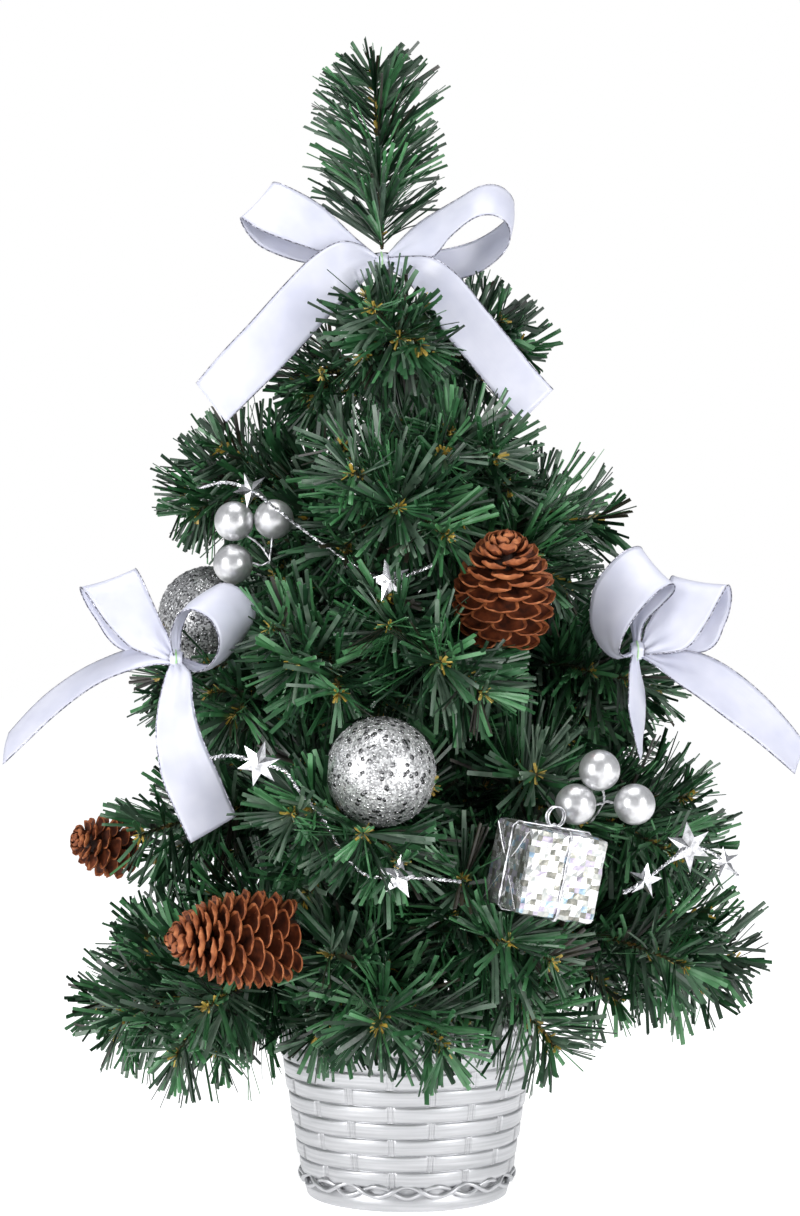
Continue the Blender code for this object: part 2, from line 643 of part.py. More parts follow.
def make_cone(name, centre, axis, length, radius, branch):
    """A pine cone: scale rims in steps round a core, widest past its middle and narrow at its apex."""
    profile = [(0, length / 2)]
    for row in range(CONE_ROWS):
        share = (row + 0.6) / CONE_ROWS
        width = radius * math.sin(math.pi * (0.16 + 0.6 * share))
        top = length / 2 - length * (row + 0.35) / CONE_ROWS
        profile.append((width * 0.72, top))
        profile.append((width, top - length * 0.35 / CONE_ROWS))
        profile.append((width * 0.97, top - length * 0.5 / CONE_ROWS))
    profile += [(radius * 0.3, -length / 2), (0, -length / 2)]
    cone = turned(name, profile, "pine_cone", CONE_SIDES)
    cone.rotation_mode = "QUATERNION"
    cone.rotation_quaternion = Vector(axis).to_track_quat("Z", "Y")
    cone.location = centre
    hang(cone, branch)


def make_pick(which):
    """Three berries and the wires that hold them to a branch's tip."""
    branch, offset, places = BERRY_PICKS[which]
    joint = branch_point(branch, 1) + offset
    tip = branch_point(branch, 1)
    back = (tip - joint).normalized()
    reach_back = (tip - joint).length - BRUSH_RADIUS
    twist = add("stem_twist", mesh_from(ball_mesh(2 * STEM_RADIUS, 10, 7), "stem_twist"), cutters)
    twist.location = joint
    stems = [
        twist,
        tube("stem_foot", [joint, joint + back * reach_back], [STEM_RADIUS] * 2, cutters),
    ]
    for number, place in enumerate(places, 1):
        centre = joint + place * BERRY_RADIUS
        mesh = mesh_from(ball_mesh(BERRY_RADIUS, 12, 8), "berry")
        berry = add(f"{which}_berry_{number}", mesh, tree, "satin_silver", smooth=True)
        berry.location = centre
        hang(berry, branch)
        along = (centre - joint).normalized()
        reach = (centre - joint).length - BERRY_RADIUS - GAP
        stems.append(
            tube(f"stem_{number}", [joint, joint + along * reach], [STEM_RADIUS] * 2, cutters)
        )
    stem = union(f"{which}_berry_stems", stems, "silver_wire")
    hang(stem, branch)


def box_bm(side):
    bm = bmesh.new()
    bmesh.ops.create_cube(bm, size=side)
    return bm


def gift_body(turn):
    """The hollow wrapped box with a hole below for its wire, turned about its middle."""
    box = add("gift_box", mesh_from(box_bm(GIFT_SIDE), "gift_box"), cutters)
    edge = box.modifiers.new("edge", "BEVEL")
    edge.width = GIFT_EDGE
    edge.segments = 2
    room = add("gift_room", mesh_from(box_bm(GIFT_SIDE - 2 * GIFT_WALL), "gift_room"), cutters)
    hole_bm = bmesh.new()
    bmesh.ops.create_cone(
        hole_bm, cap_ends=True, segments=12, radius1=GIFT_HOLE_RADIUS, radius2=GIFT_HOLE_RADIUS,
        depth=GIFT_SIDE,
    )
    hole_bm.transform(Matrix.Translation((0, 0, -GIFT_SIDE / 2)))
    hole = add("gift_hole", mesh_from(hole_bm, "gift_hole"), cutters)
    boolean(box, room, "DIFFERENCE")
    boolean(box, hole, "DIFFERENCE")
    body = to_mesh_object(box, cutters)
    for cutter in (room, hole):
        bpy.data.objects.remove(cutter, do_unlink=True)
    cutters.objects.unlink(body)
    tree.objects.link(body)
    body.name = "gift_box"
    body.data.materials.clear()
    body.data.materials.append(material("foil"))
    body.data.transform(turn)
    return body


def gift_square(out):
    """A square route round the box, its corners cut, as (across, up) points."""
    square = []
    for x, z in ((1, 1), (1, -1), (-1, -1), (-1, 1)):
        near, far = out - GIFT_CORNER, out
        first, second = ((near, far), (far, near)) if x * z > 0 else ((far, near), (near, far))
        square += [(x * first[0], z * first[1]), (x * second[0], z * second[1])]
    return square


def make_gift(centre, branch):
    """The box and its cord: a band each way round it, one over the other, and a loop on top."""
    turn = (Matrix.Rotation(math.radians(GIFT_TILT), 4, "Y")
            @ Matrix.Rotation(math.radians(GIFT_TURN), 4, "Z"))
    body = gift_body(turn)
    body.location = centre
    hang(body, branch)

    under = GIFT_SIDE / 2 + GAP + GIFT_CORD_RADIUS
    over = under + GIFT_CORD_RADIUS / 2
    width = [GIFT_CORD_RADIUS] * 8
    band = tube("gift_band", [Vector((x, 0, z)) for x, z in gift_square(under)], width, cutters, True)
    cross = tube("gift_cross", [Vector((0, y, z)) for y, z in gift_square(over)], width, cutters, True)
    loop_steps = 12
    loop_points = []
    for step in range(loop_steps):
        angle = 2 * math.pi * (step + 0.5) / loop_steps
        loop_points.append(Vector((
            0.7 * GIFT_LOOP_RADIUS * math.sin(angle),
            0.7 * GIFT_LOOP_RADIUS * math.sin(angle),
            over + GIFT_LOOP_RADIUS * (1 - math.cos(angle)),
        )))
    loop = tube("gift_loop", loop_points, [GIFT_CORD_RADIUS] * loop_steps, cutters, True)
    cord = union("gift_cord", [band, cross, loop], "silver_wire")
    cord.data.transform(Matrix.Translation(centre) @ turn)
    hang(cord, branch)


def star(name, centre, radius, points, where):
    """A flat die-cut star that faces the front, its wire running through it."""
    curve = bpy.data.curves.new(name, "CURVE")
    curve.dimensions = "2D"
    curve.fill_mode = "BOTH"
    curve.extrude = STAR_THICKNESS / 2
    spline = curve.splines.new("POLY")
    spline.points.add(2 * points - 1)
    for k, place in enumerate(spline.points):
        reach = radius * (1 if k % 2 == 0 else STAR_INNER_SHARE)
        turn = math.pi * k / points
        place.co = (reach * math.sin(turn), reach * math.cos(turn), 0, 1)
    spline.use_cyclic_u = True
    obj = bpy.data.objects.new(name, curve)
    where.objects.link(obj)
    obj.rotation_euler = (math.radians(90), 0, 0)
    obj.location = centre
    return obj


def make_strand(name):
    branch, route, stars = STRANDS[name]
    tip = branch_point(branch, 1)
    points = [tip + Vector(point) * MM for point in route]
    path = smooth_path(points, 2)
    parts = [tube(name, path, [STRAND_RADIUS] * len(path), cutters, sides=1)]
    for number, (place, radius, count) in enumerate(stars):
        parts.append(star(f"{name}_star_{number}", points[place], radius * MM, count, cutters))
    strand = union(name, parts, "silver_wire", smooth=False)
    hang(strand, branch)


# The tree

clear_scene()
tree = make_collection("artificial_tabletop_tree")
cutters = make_collection("cutters")
cutters.hide_render = True
hinges = {}

make_pot()
make_filler()
make_trunk()
for tier_number in range(1, TIERS + 1):
    make_binding(tier_number)
for branch_name in BRANCHES:
    make_branch(branch_name)
make_top_tip()

for bow_name, (bow_strips, bow_branch, offset) in BOWS.items():
    tied_to = branch_point(bow_branch, 1) if bow_branch else trunk_point(trunk_top())
    make_bow(bow_name, bow_strips, tied_to + offset, bow_branch)
for ball_name, (ball_branch, along, side) in BALLS.items():
    rest = branch_point(ball_branch, along)
    wire = (branch_point(ball_branch, 1) - rest).normalized()
    square_to_wire = (side - wire * side.dot(wire)).normalized()
    make_ball(ball_name, rest + square_to_wire * (BRUSH_RADIUS + GAP + BALL_RADIUS), ball_branch)
for cone_name, (cone_branch, along, offset, axis, length, radius) in CONES.items():
    make_cone(cone_name, branch_point(cone_branch, along) + offset, axis, length, radius, cone_branch)
for pick in BERRY_PICKS:
    make_pick(pick)
gift_middle = branch_point(GIFT_BRANCH, 1) + GIFT_CORNER_PLACE + GIFT_MIDDLE_SHARE * GIFT_SIDE
make_gift(gift_middle, GIFT_BRANCH)
for strand_name in STRANDS:
    make_strand(strand_name)
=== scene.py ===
"""The looks of the artificial tabletop tree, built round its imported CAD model: brushes of flat PVC needles,
a woven silver pot, satin bows, glitter balls, pine cones, berries, a foil gift box and star garlands.

Metres, +Z up, the decorated front of the tree faces -Y. Every place comes from the CAD frame.
"""

import json
import math

import bpy
import numpy as np
from mathutils import Matrix, Vector, noise
from mathutils.bvhtree import BVHTree


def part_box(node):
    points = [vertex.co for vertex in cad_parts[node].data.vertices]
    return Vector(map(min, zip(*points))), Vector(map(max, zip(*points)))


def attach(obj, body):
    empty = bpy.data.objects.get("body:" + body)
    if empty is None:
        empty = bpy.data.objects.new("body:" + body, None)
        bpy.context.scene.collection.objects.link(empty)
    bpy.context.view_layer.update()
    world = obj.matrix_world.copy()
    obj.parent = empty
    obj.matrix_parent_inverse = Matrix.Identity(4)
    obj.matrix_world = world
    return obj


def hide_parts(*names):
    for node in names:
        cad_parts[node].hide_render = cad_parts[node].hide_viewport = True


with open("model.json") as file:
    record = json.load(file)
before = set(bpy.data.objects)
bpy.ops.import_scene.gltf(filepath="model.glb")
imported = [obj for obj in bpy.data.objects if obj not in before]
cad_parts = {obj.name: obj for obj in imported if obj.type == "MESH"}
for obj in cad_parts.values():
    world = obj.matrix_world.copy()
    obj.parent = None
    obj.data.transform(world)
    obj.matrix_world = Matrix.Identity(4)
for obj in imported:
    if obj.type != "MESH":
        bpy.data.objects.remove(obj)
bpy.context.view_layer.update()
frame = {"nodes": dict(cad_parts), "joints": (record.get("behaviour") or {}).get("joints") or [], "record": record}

MM = 0.001
SEED = 11
scene = bpy.context.scene

# Needles: angles in degrees from the wire; the overhang is how far they reach past the end of their wire
NEEDLE_LENGTH = 30 * MM
NEEDLE_WIDTH = 1.6 * MM
NEEDLE_THICKNESS = 0.3 * MM
NEEDLES_PER_MM = 3.0
NEEDLE_ANGLE = 56
NEEDLE_ANGLE_AT_TIP = 30
NEEDLE_OVERHANG = 6 * MM
FAN_NEEDLES = 4
FAN_PITCH = 0.55 * MM
FAN_TURN = 2.399963
FAN_SPREAD = 0.10
STRAY_CHANCE = 0.05
TIP_TAPER = 18 * MM
TIP_SHARE = 0.5
TOP_OVERHANG = 11 * MM
TOP_DENSITY = 2.1
BARE_ROOT = 7 * MM
BARE_SPRIG_ROOT = 3 * MM
CORE_WIRE_RADIUS = 0.55 * MM
CORE_PITCH = 5 * MM
FLECK_PITCH = 1.7 * MM
TIP_FLECKS = 22

# A needle in front of an ornament is dropped, save for these chances: share along it, chance to stay
COVER_DEPTH = 60 * MM
COVER_CHANCES = [(0.35, 0.03), (0.7, 0.2), (1.0, 0.6)]
NEEDLE_GAP = 2.5 * MM
SHORTEST_NEEDLE = 9 * MM

# Sprigs that fill a brush: share along the branch, turn to the side and rise in degrees, length
FILL_SPRIGS = [
    (0.16, 38, 34, 46 * MM), (0.24, -36, -20, 44 * MM), (0.36, 34, -26, 42 * MM), (0.44, -34, 30, 42 * MM),
    (0.60, 28, 24, 34 * MM), (0.66, -28, -20, 34 * MM),
]

# Pot
STAKES = 18
STAKE_STATIONS = [-1.75, -1.3, -1.0, -0.8, -0.45, -0.12, 0.12, 0.45, 0.8, 1.0, 1.3, 1.75]
ROW_PITCH = 6.3 * MM
ROW_STATIONS = [0.0, 0.03, 0.08, 0.18, 0.35, 0.5, 0.65, 0.82, 0.92, 0.97]
WEAVE_BOTTOM = 9.2 * MM
WEAVE_ROWS = 9
FIRST_STAKE = -8
BULGE = 1.5 * MM
STAKE_HALF = 1.0 * MM
WALL = 0.6 * MM
BRAID_HEIGHT = 8 * MM
BRAID_LINKS = 22
BRAID_STEPS = 12

# Ribbon, cones, balls and gift box
RIBBON_WIDTH = 22 * MM
RIBBON_THICKNESS = 0.28 * MM
EDGE_THREAD_RADIUS = 0.26 * MM
ROSETTE_SCALES = 14
HEXAGON_SHARE = 0.2
BRIGHT_SHARE = 0.7
FOIL_CELLS = 15
FOIL_ROUNDING = 1.6 * MM
FOIL_PUCKER = 0.15 * MM
CORD_HEIGHT = 0.55 * MM


# Small helpers


def vec(*values):
    return np.array(values, float)


def unit(vector):
    return vector / np.linalg.norm(vector)


def units(vectors):
    """Many vectors, along the last axis, each made one long."""
    return vectors / np.linalg.norm(vectors, axis=-1, keepdims=True)


def square_to(axis):
    """Two unit vectors square to an axis and to each other."""
    u = unit(np.cross(axis, vec(0, 0, 1) if abs(axis[2]) < 0.9 else vec(1, 0, 0)))
    return u, np.cross(axis, u)


def arc_lengths(path):
    """The distance along a path at each of its points."""
    return np.concatenate([[0], np.cumsum(np.linalg.norm(np.diff(path, axis=0), axis=1))])


def arched(start, chord, rise, count):
    """Points from a start along a chord, raised in the middle."""
    shares = np.linspace(0, 1, count)
    return start + np.outer(shares, chord) + np.outer(4 * shares * (1 - shares), rise)


def body_node(node):
    """The name of the body that a CAD node rides on."""
    return next(b for b, nodes in frame["record"]["behaviour"]["bodies"].items() if node in nodes)


def stand_in(obj, node):
    """Puts an object in a CAD node's place: on its body, in its slot."""
    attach(obj, body_node(node))
    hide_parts(node)
    return obj


def node_points(node):
    mesh = frame["nodes"][node].data
    points = np.empty(len(mesh.vertices) * 3)
    mesh.vertices.foreach_get("co", points)
    return points.reshape(-1, 3)


def node_centre(node):
    low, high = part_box(node)
    return (low + high) / 2


def build(name, verts, faces, mats, slots=None, smooth=True, uvs=None):
    """A mesh object from arrays of points and faces, with a material index for each face."""
    mesh = bpy.data.meshes.new(name)
    mesh.from_pydata([tuple(v) for v in verts], [], [tuple(int(i) for i in f) for f in faces])
    for mat in mats:
        mesh.materials.append(mat)
    if slots is not None:
        mesh.polygons.foreach_set("material_index", np.asarray(slots, np.int32))
    mesh.polygons.foreach_set("use_smooth", np.full(len(mesh.polygons), smooth))
    if uvs is not None:
        layer = mesh.uv_layers.new(name="UVMap")
        corners = np.empty(len(mesh.loops), np.int32)
        mesh.loops.foreach_get("vertex_index", corners)
        layer.data.foreach_set("uv", np.asarray(uvs, np.float32)[corners].ravel())
    mesh.validate()
    mesh.update()
    obj = bpy.data.objects.new(name, mesh)
    scene.collection.objects.link(obj)
    return obj


class Shape:
    """Collects verts and faces of several closed forms for one mesh."""

    def __init__(self):
        self.verts, self.faces, self.slots, self.count = [], [], [], 0

    def add(self, verts, faces, slot=0):
        verts = np.asarray(verts, float).reshape(-1, 3)
        self.verts.append(verts)
        self.faces += [tuple(i + self.count for i in f) for f in faces]
        self.slots += list(slot) if isinstance(slot, (list, np.ndarray)) else [slot] * len(faces)
        self.count += len(verts)

    def object(self, name, mats, smooth=True):
        return build(name, np.concatenate(self.verts), self.faces, mats, self.slots, smooth)


def frame_along(path):
    """Tangent, side and up of each point of a path, turned as little as possible."""
    tangents = units(np.gradient(np.asarray(path, float), axis=0))
    side = np.cross(tangents[0], [0, 0, 1])
    if np.linalg.norm(side) < 1e-3:
        side = np.cross(tangents[0], [0, 1, 0])
    sides = []
    for tangent in tangents:
        side = unit(side - tangent * side.dot(tangent))
        sides.append(side)
    sides = np.array(sides)
    return tangents, sides, np.cross(sides, tangents)


def skin(rows, ring, closed=False, inward=False):
    """Quads between rows of points, each a ring, with end caps unless the rows close on themselves."""
    faces = []
    for row in range(rows if closed else rows - 1):
        a, b = row * ring, (row + 1) % rows * ring
        for k in range(ring):
            after = (k + 1) % ring
            faces.append((a + k, b + k, b + after, a + after) if inward
                         else (a + k, a + after, b + after, b + k))
    if not closed:
        first, last = tuple(range(ring)), tuple(range((rows - 1) * ring, rows * ring))
        faces += [first, last[::-1]] if inward else [first[::-1], last]
    return faces


def tube_mesh(path, radii, sides, closed=False):
    """Verts and faces of a tube along a path, with caps unless it is closed."""
    path = np.asarray(path, float)
    count = len(path)
    radii = np.broadcast_to(np.asarray(radii, float), (count,))
    if closed:
        tangents = units(np.roll(path, -1, axis=0) - np.roll(path, 1, axis=0))
        ups = path - path.mean(axis=0)
        ups = units(ups - tangents * (ups * tangents).sum(axis=1)[:, None])
        rights = np.cross(tangents, ups)
    else:
        _, rights, ups = frame_along(path)
    turns = np.linspace(0, 2 * math.pi, sides, endpoint=False)
    ring = rights[:, None] * np.cos(turns)[None, :, None] + ups[:, None] * np.sin(turns)[None, :, None]
    return (path[:, None] + ring * radii[:, None, None]).reshape(-1, 3), skin(count, sides, closed)


def add_twist(shape, path, pitch, offset, radius, slot=0):
    """Adds two wires twisted together along a path, and gives the path's distances, sides and ups."""
    _, rights, ups = frame_along(path)
    along = arc_lengths(path)
    for strand in range(2):
        twist = along / pitch * 2 * math.pi + strand * math.pi
        shift = rights * np.cos(twist)[:, None] + ups * np.sin(twist)[:, None]
        shape.add(*tube_mesh(path + shift * offset, radius, 6), slot=slot)
    return along, rights, ups


def catmull(points, steps):
    """Points of a smooth curve through the given points."""
    points = [np.asarray(p, float) for p in points]
    ends = [2 * points[0] - points[1], *points, 2 * points[-1] - points[-2]]
    out = []
    for i in range(1, len(ends) - 2):
        a, b, c, d = ends[i - 1 : i + 3]
        for t in np.arange(steps) / steps:
            out.append(0.5 * (2 * b + (c - a) * t + (2 * a - 5 * b + 4 * c - d) * t**2
                              + (3 * b - a - 3 * c + d) * t**3))
    out.append(points[-1])
    return np.array(out)


# Materials


def srgb(r, g, b):
    """A colour given in 0 to 255 as shown, made linear."""
    out = []
    for value in (r, g, b):
        value /= 255
        out.append(value / 12.92 if value <= 0.04045 else ((value + 0.055) / 1.055) ** 2.4)
    return (*out, 1)


class Paint:
    """A procedural material: a Principled shader and short ways to drive it."""

    def __init__(self, name, **constants):
        self.material = bpy.data.materials.new(name)
        self.material.use_nodes = True
        self.tree = self.material.node_tree
        self.shader = self.tree.nodes["Principled BSDF"]
        self.fill(self.shader, constants)
        self.coords = self.node("TexCoord").outputs

    def fill(self, node, values):
        for socket, value in values.items():
            node.inputs[socket.replace("_", " ")].default_value = value

    def link(self, output, node, socket):
        self.tree.links.new(output, node.inputs[socket])

    def node(self, kind, source=None, socket="Vector", **values):
        """A new node with its values set, fed by an output."""
        made = self.tree.nodes.new("ShaderNode" + kind)
        self.fill(made, values)
        if source is not None:
            self.link(source, made, socket)
        return made

    def mapped(self, coords, scale):
        return self.node("Mapping", self.coords[coords], Scale=scale).outputs["Vector"]

    def noise(self, scale, detail, vector=None):
        return self.node("TexNoise", vector or self.coords["Object"], Scale=scale, Detail=detail).outputs["Fac"]

    def colour(self, value, stops):
        """Colours the surface by a ramp over a value: places, and colours in 0 to 255 or linear with alpha."""
        made = self.node("ValToRGB", value, "Fac")
        elements = made.color_ramp.elements
        while len(elements) < len(stops):
            elements.new(0.5)
        for element, (place, colour) in zip(elements, stops):
            element.position = place
            element.color = colour if len(colour) == 4 else srgb(*colour)
        self.link(made.outputs["Color"], self.shader, "Base Color")

    def rough(self, value, low, high):
        made = self.node("MapRange", value, "Value", To_Min=low, To_Max=high)
        self.link(made.outputs["Result"], self.shader, "Roughness")

    def bump(self, value, strength, distance):
        made = self.node("Bump", value, "Height", Strength=strength, Distance=distance)
        self.link(made.outputs["Normal"], self.shader, "Normal")
        return self.material


def paint(name, grain, stops, rough=None, bump=None, **constants):
    """A material coloured by one noise, with others for its roughness and bump.

    grain is a noise's scale and detail; rough adds its low and high, bump its strength and distance.
    """
    made = Paint(name, **constants)
    made.colour(made.noise(*grain), stops)
    if rough:
        made.rough(made.noise(*rough[:2]), *rough[2:])
    if bump:
        made.bump(made.noise(*bump[:2]), *bump[2:])
    return made.material


def needle_paint(name, dark, mid, light):
    """Glossy PVC film: its green drifts along and between needles."""
    return paint(name, (140, 2), [(0.3, dark), (0.5, mid), (0.72, light)], rough=(600, 2, 0.28, 0.46),
                 bump=(1500, 2, 0.35, 0.0001), Roughness=0.36, Specular_IOR_Level=0.7)


NEEDLE_PAINTS = [
    needle_paint("needle_deep_green", (9, 35, 18), (18, 49, 28), (32, 69, 42)),
    needle_paint("needle_mid_green", (25, 66, 35), (39, 86, 49), (58, 109, 69)),
    needle_paint("needle_bright_green", (48, 104, 58), (69, 125, 77), (97, 146, 104)),
    needle_paint("needle_grey_green", (51, 76, 58), (76, 99, 81), (106, 125, 107)),
    needle_paint("needle_dark_brown", (23, 21, 16), (37, 33, 25), (53, 49, 35)),
    needle_paint("needle_gold_fleck", (122, 100, 32), (176, 148, 58), (216, 192, 108)),
]
NEEDLE_SHARES = [0.34, 0.31, 0.15, 0.16, 0.04]
BRIGHT, GREY, GOLD = 2, 3, 5  # places in NEEDLE_PAINTS


def tape_paint():
    made = Paint("green_florist_tape", Roughness=0.7)
    made.colour(made.noise(160, 4), [(0.35, (12, 40, 24)), (0.7, (34, 76, 44))])
    wave = made.node("TexWave", made.coords["Object"], Scale=120, Distortion=1.5)
    wave.bands_direction = "Z"
    return made.bump(wave.outputs["Fac"], 0.5, 0.0005)


def pot_paint():
    """Silver-sprayed plastic with a fine grain along the weave."""
    made = Paint("silver_pot_paint", Roughness=0.34, Metallic=0.8)
    grain = made.noise(40, 5, made.mapped("Object", (1, 1, 26)))
    made.colour(grain, [(0.3, (178, 179, 182)), (0.7, (204, 204, 207))])
    made.rough(made.noise(60, 4), 0.32, 0.48)
    return made.bump(grain, 0.25, 0.0004)


def satin_paint():
    """White satin ribbon: fine lengthwise warp with a soft sheen."""
    made = Paint("white_satin", Roughness=0.3, Sheen_Weight=0.1, Sheen_Roughness=0.4, Specular_IOR_Level=0.75)
    made.colour(made.noise(90, 2), [(0.3, (197, 199, 216)), (0.7, (211, 212, 226))])
    weave = made.noise(1, 2, made.mapped("UV", (900, 14, 1)))
    made.rough(weave, 0.26, 0.38)
    return made.bump(weave, 0.12, 0.0002)


def glitter_glint_paint(name, dark, light):
    """Tiny mirror chips, each at its own angle; each chip's brightness is painted at random between dark and
    light, a painted glint.
    """
    made = Paint(name, Roughness=0.3, Metallic=0.55)
    chips = made.node("TexVoronoi", made.coords["Object"], Scale=1500).outputs["Color"]
    # Painted glints: the chips' random dark-to-light colour stands in for their reflections
    made.colour(chips, [(0.2, dark), (0.8, light)])
    return made.bump(chips, 0.9, 0.0006)


def cone_paint(name, dark, mid, light):
    """Dry pine-cone wood, streaked along each scale."""
    return paint(name, (260, 6), [(0.3, dark), (0.5, mid), (0.7, light)], bump=(700, 5, 0.5, 0.0004),
                 Roughness=0.62, Specular_IOR_Level=0.35)


def silver_paint(name, roughness, scale=400, detail=2, dark=(168, 168, 172), light=(236, 236, 240),
                 metallic=0.95, bump=None):
    """Bright metal, foil or lacquered film, faintly mottled."""
    return paint(name, (scale, detail), [(0.35, dark), (0.65, light)], bump=bump, Roughness=roughness,
                 Metallic=metallic)


def foil_paint(name, dark, light, roughness):
    """Holographic foil: each small facet is painted at one brightness, a painted reflection, and faintly tinted
    within it.
    """
    return silver_paint(name, roughness, 700, 1, dark, light, 0.85, (900, 2, 0.15, 0.0002))


WIRE = paint("twisted_core_wire", (220, 3),
             [(0.35, (30, 44, 24)), (0.55, (70, 66, 34)), (0.75, (150, 110, 46))],
             bump=(900, 2, 0.4, 0.0002), Roughness=0.5, Metallic=0.2)
TAPE = tape_paint()
CEMENT = paint("cement", (90, 6), [(0.3, (120, 116, 108)), (0.7, (176, 172, 164))],
               bump=(300, 5, 0.6, 0.0008), Roughness=0.9)
POT = pot_paint()
SATIN = satin_paint()
LUREX = paint("silver_edge_thread", (900, 1), [(0.42, (92, 92, 106)), (0.6, (190, 190, 202))],
              Roughness=0.3, Metallic=0.7)
TIE = paint("pale_green_tie", (300, 2), [(0.3, (150, 196, 140)), (0.7, (190, 222, 180))], Roughness=0.45)
GLITTER_LIGHT = glitter_glint_paint("silver_glitter", (150, 150, 152), (252, 252, 253))
GLITTER_DARK = glitter_glint_paint("dark_silver_glitter", (80, 80, 82), (210, 210, 212))
FLAKE_DARK = silver_paint("grey_hexagon_flake", 0.25, 500, 1, (96, 96, 98), (136, 136, 138), 0.9)
FLAKE_LIGHT = silver_paint("bright_flake", 0.12, 500, 1, (214, 214, 216), (254, 254, 255), 0.9)
CONE_FACE = cone_paint("cone_scale", (44, 17, 7), (84, 38, 17), (122, 61, 31))
CONE_RIM = cone_paint("cone_scale_rim", (104, 52, 25), (150, 84, 47), (188, 120, 76))
# Painted shade: the core and the scale stalks sit deep inside the cone, so they are painted near-black brown
CONE_CORE_SHADE = cone_paint("cone_core_painted_shade", (28, 14, 8), (48, 26, 16), (70, 38, 24))
BERRY = paint("satin_silver_lacquer", (500, 4), [(0.3, (196, 196, 198)), (0.7, (222, 222, 224))],
              rough=(220, 3, 0.26, 0.36), bump=(900, 3, 0.08, 0.0002), Roughness=0.3, Metallic=0.75,
              Coat_Weight=0.15, Coat_Roughness=0.25)
STEM = silver_paint("silver_stem_wire", 0.35)
TINSEL = silver_paint("tinsel_foil", 0.14)
CORD = silver_paint("silver_gift_cord", 0.3)
# Painted reflections: each facet takes one of these at random, so its brightness stands in for what it reflects;
# the lilac and blue are the foil's tints
FOIL_REFLECTIONS = [
    foil_paint("bright_reflection_foil", (204, 204, 206), (226, 226, 228), 0.24),
    foil_paint("pale_foil", (166, 170, 170), (196, 196, 190), 0.28),
    foil_paint("lilac_foil", (172, 164, 184), (200, 192, 206), 0.28),
    foil_paint("dark_reflection_foil", (112, 114, 108), (150, 148, 140), 0.32),
    foil_paint("blue_foil", (140, 166, 188), (186, 206, 214), 0.28),
]
FOIL_REFLECTION_SHARES = [0.38, 0.24, 0.12, 0.18, 0.08]


# Pot


def make_pot():
    """The moulded basket: bands that pass over two bays and dip under every other stake, a braid and a lip."""
    _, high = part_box("pot")
    lip, height = high.x, high.z
    points = node_points("pot")
    foot = np.hypot(points[:, 0], points[:, 1])[points[:, 2] < 0.5 * MM].max()
    pitch = 2 * math.pi / STAKES
    start = math.radians(-90 + FIRST_STAKE)
    stations = np.array(STAKE_STATIONS) * MM / foot
    columns = []
    for stake in range(STAKES):
        here = start + stake * pitch
        columns += [*(here + stations), *np.linspace(here + stations[-1], here + pitch + stations[0], 9)[1:-1]]
    columns = np.array(columns)

    def wall(z):
        return foot + (lip - 1.2 * MM - foot) * z / height

    place = (columns - start) / pitch
    rings = []
    for row in range(WEAVE_ROWS):
        within = ((place + row) / 2) % 1
        away = np.minimum(within, 1 - within) * 2 * pitch * foot
        across = np.abs(within * 2 - 1)
        arc = 0.36 + 0.64 * np.sqrt(np.clip(1 - across**2.2, 0, 1))
        rib = BULGE * (0.20 + 0.34 * np.exp(-(((away - 0.5 * MM) / (0.26 * MM)) ** 2)))
        blend = np.clip((away - STAKE_HALF) / (0.3 * MM), 0, 1)
        for share in ROW_STATIONS:
            z = WEAVE_BOTTOM + (row + share) * ROW_PITCH
            crown = (1 - abs(2 * share - 1) ** 6) ** 0.5 * (1.12 - 0.24 * share) if 0 < share < 1 else 0
            band = BULGE * (0.12 + 0.88 * crown * arc)
            rings.append((wall(z) - BULGE * 0.5 + (rib * (1 - blend) + band * blend), z))
    top = WEAVE_BOTTOM + WEAVE_ROWS * ROW_PITCH
    base = [
        (0.02 * MM, 0), (foot - 0.9 * MM, 0), (foot - 0.2 * MM, 0.5 * MM), (wall(4.6 * MM), 4.6 * MM),
        (wall(5 * MM) - WALL, 5.2 * MM), (wall(9 * MM) - WALL, 9 * MM),
    ]
    rim = [
        (wall(top) - WALL, top), (lip - 0.7 * MM, top + 0.4 * MM), (lip, top + 1.1 * MM),
        (lip + 0.1 * MM, height - 1.4 * MM), (lip - 0.2 * MM, height - 0.4 * MM), (lip - 0.9 * MM, height),
        (lip - 2.6 * MM, height), (lip - 3.3 * MM, height - 0.6 * MM), (foot - 2.2 * MM, 3.4 * MM),
        (foot - 3 * MM, 3 * MM), (0.02 * MM, 3 * MM),
    ]
    verts = [np.stack([r * np.cos(columns), r * np.sin(columns), np.full(len(columns), z)], axis=1)
             for r, z in base + rings + rim]
    shape = Shape()
    shape.add(np.concatenate(verts), skin(len(verts), len(columns)))
    for strand in (1, -1):
        path = []
        for k in range(BRAID_STEPS * BRAID_LINKS):
            turn = 2 * math.pi * k / (BRAID_STEPS * BRAID_LINKS)
            wave = turn * BRAID_LINKS / 2
            out = wall(BRAID_HEIGHT) + (0.55 + strand * 0.5 * math.cos(wave * 2)) * MM
            rise = BRAID_HEIGHT + strand * 2.0 * MM * math.sin(wave)
            path.append((out * math.cos(turn), out * math.sin(turn), rise))
        shape.add(*tube_mesh(path, 0.95 * MM, 8, closed=True))
    return stand_in(shape.object("woven_pot", [POT]), "pot")


def paint_cad(node, mat):
    """Gives a carried-over CAD node its procedural material."""
    data = frame["nodes"][node].data
    data.materials.clear()
    data.materials.append(mat)


# Ornaments other than bows


def sphere_points(count):
    """Evenly spread unit vectors."""
    k = np.arange(count) + 0.5
    polar = np.arccos(1 - 2 * k / count)
    turn = math.pi * (1 + 5**0.5) * k
    return np.stack([np.cos(turn) * np.sin(polar), np.sin(turn) * np.sin(polar), np.cos(polar)], axis=1)


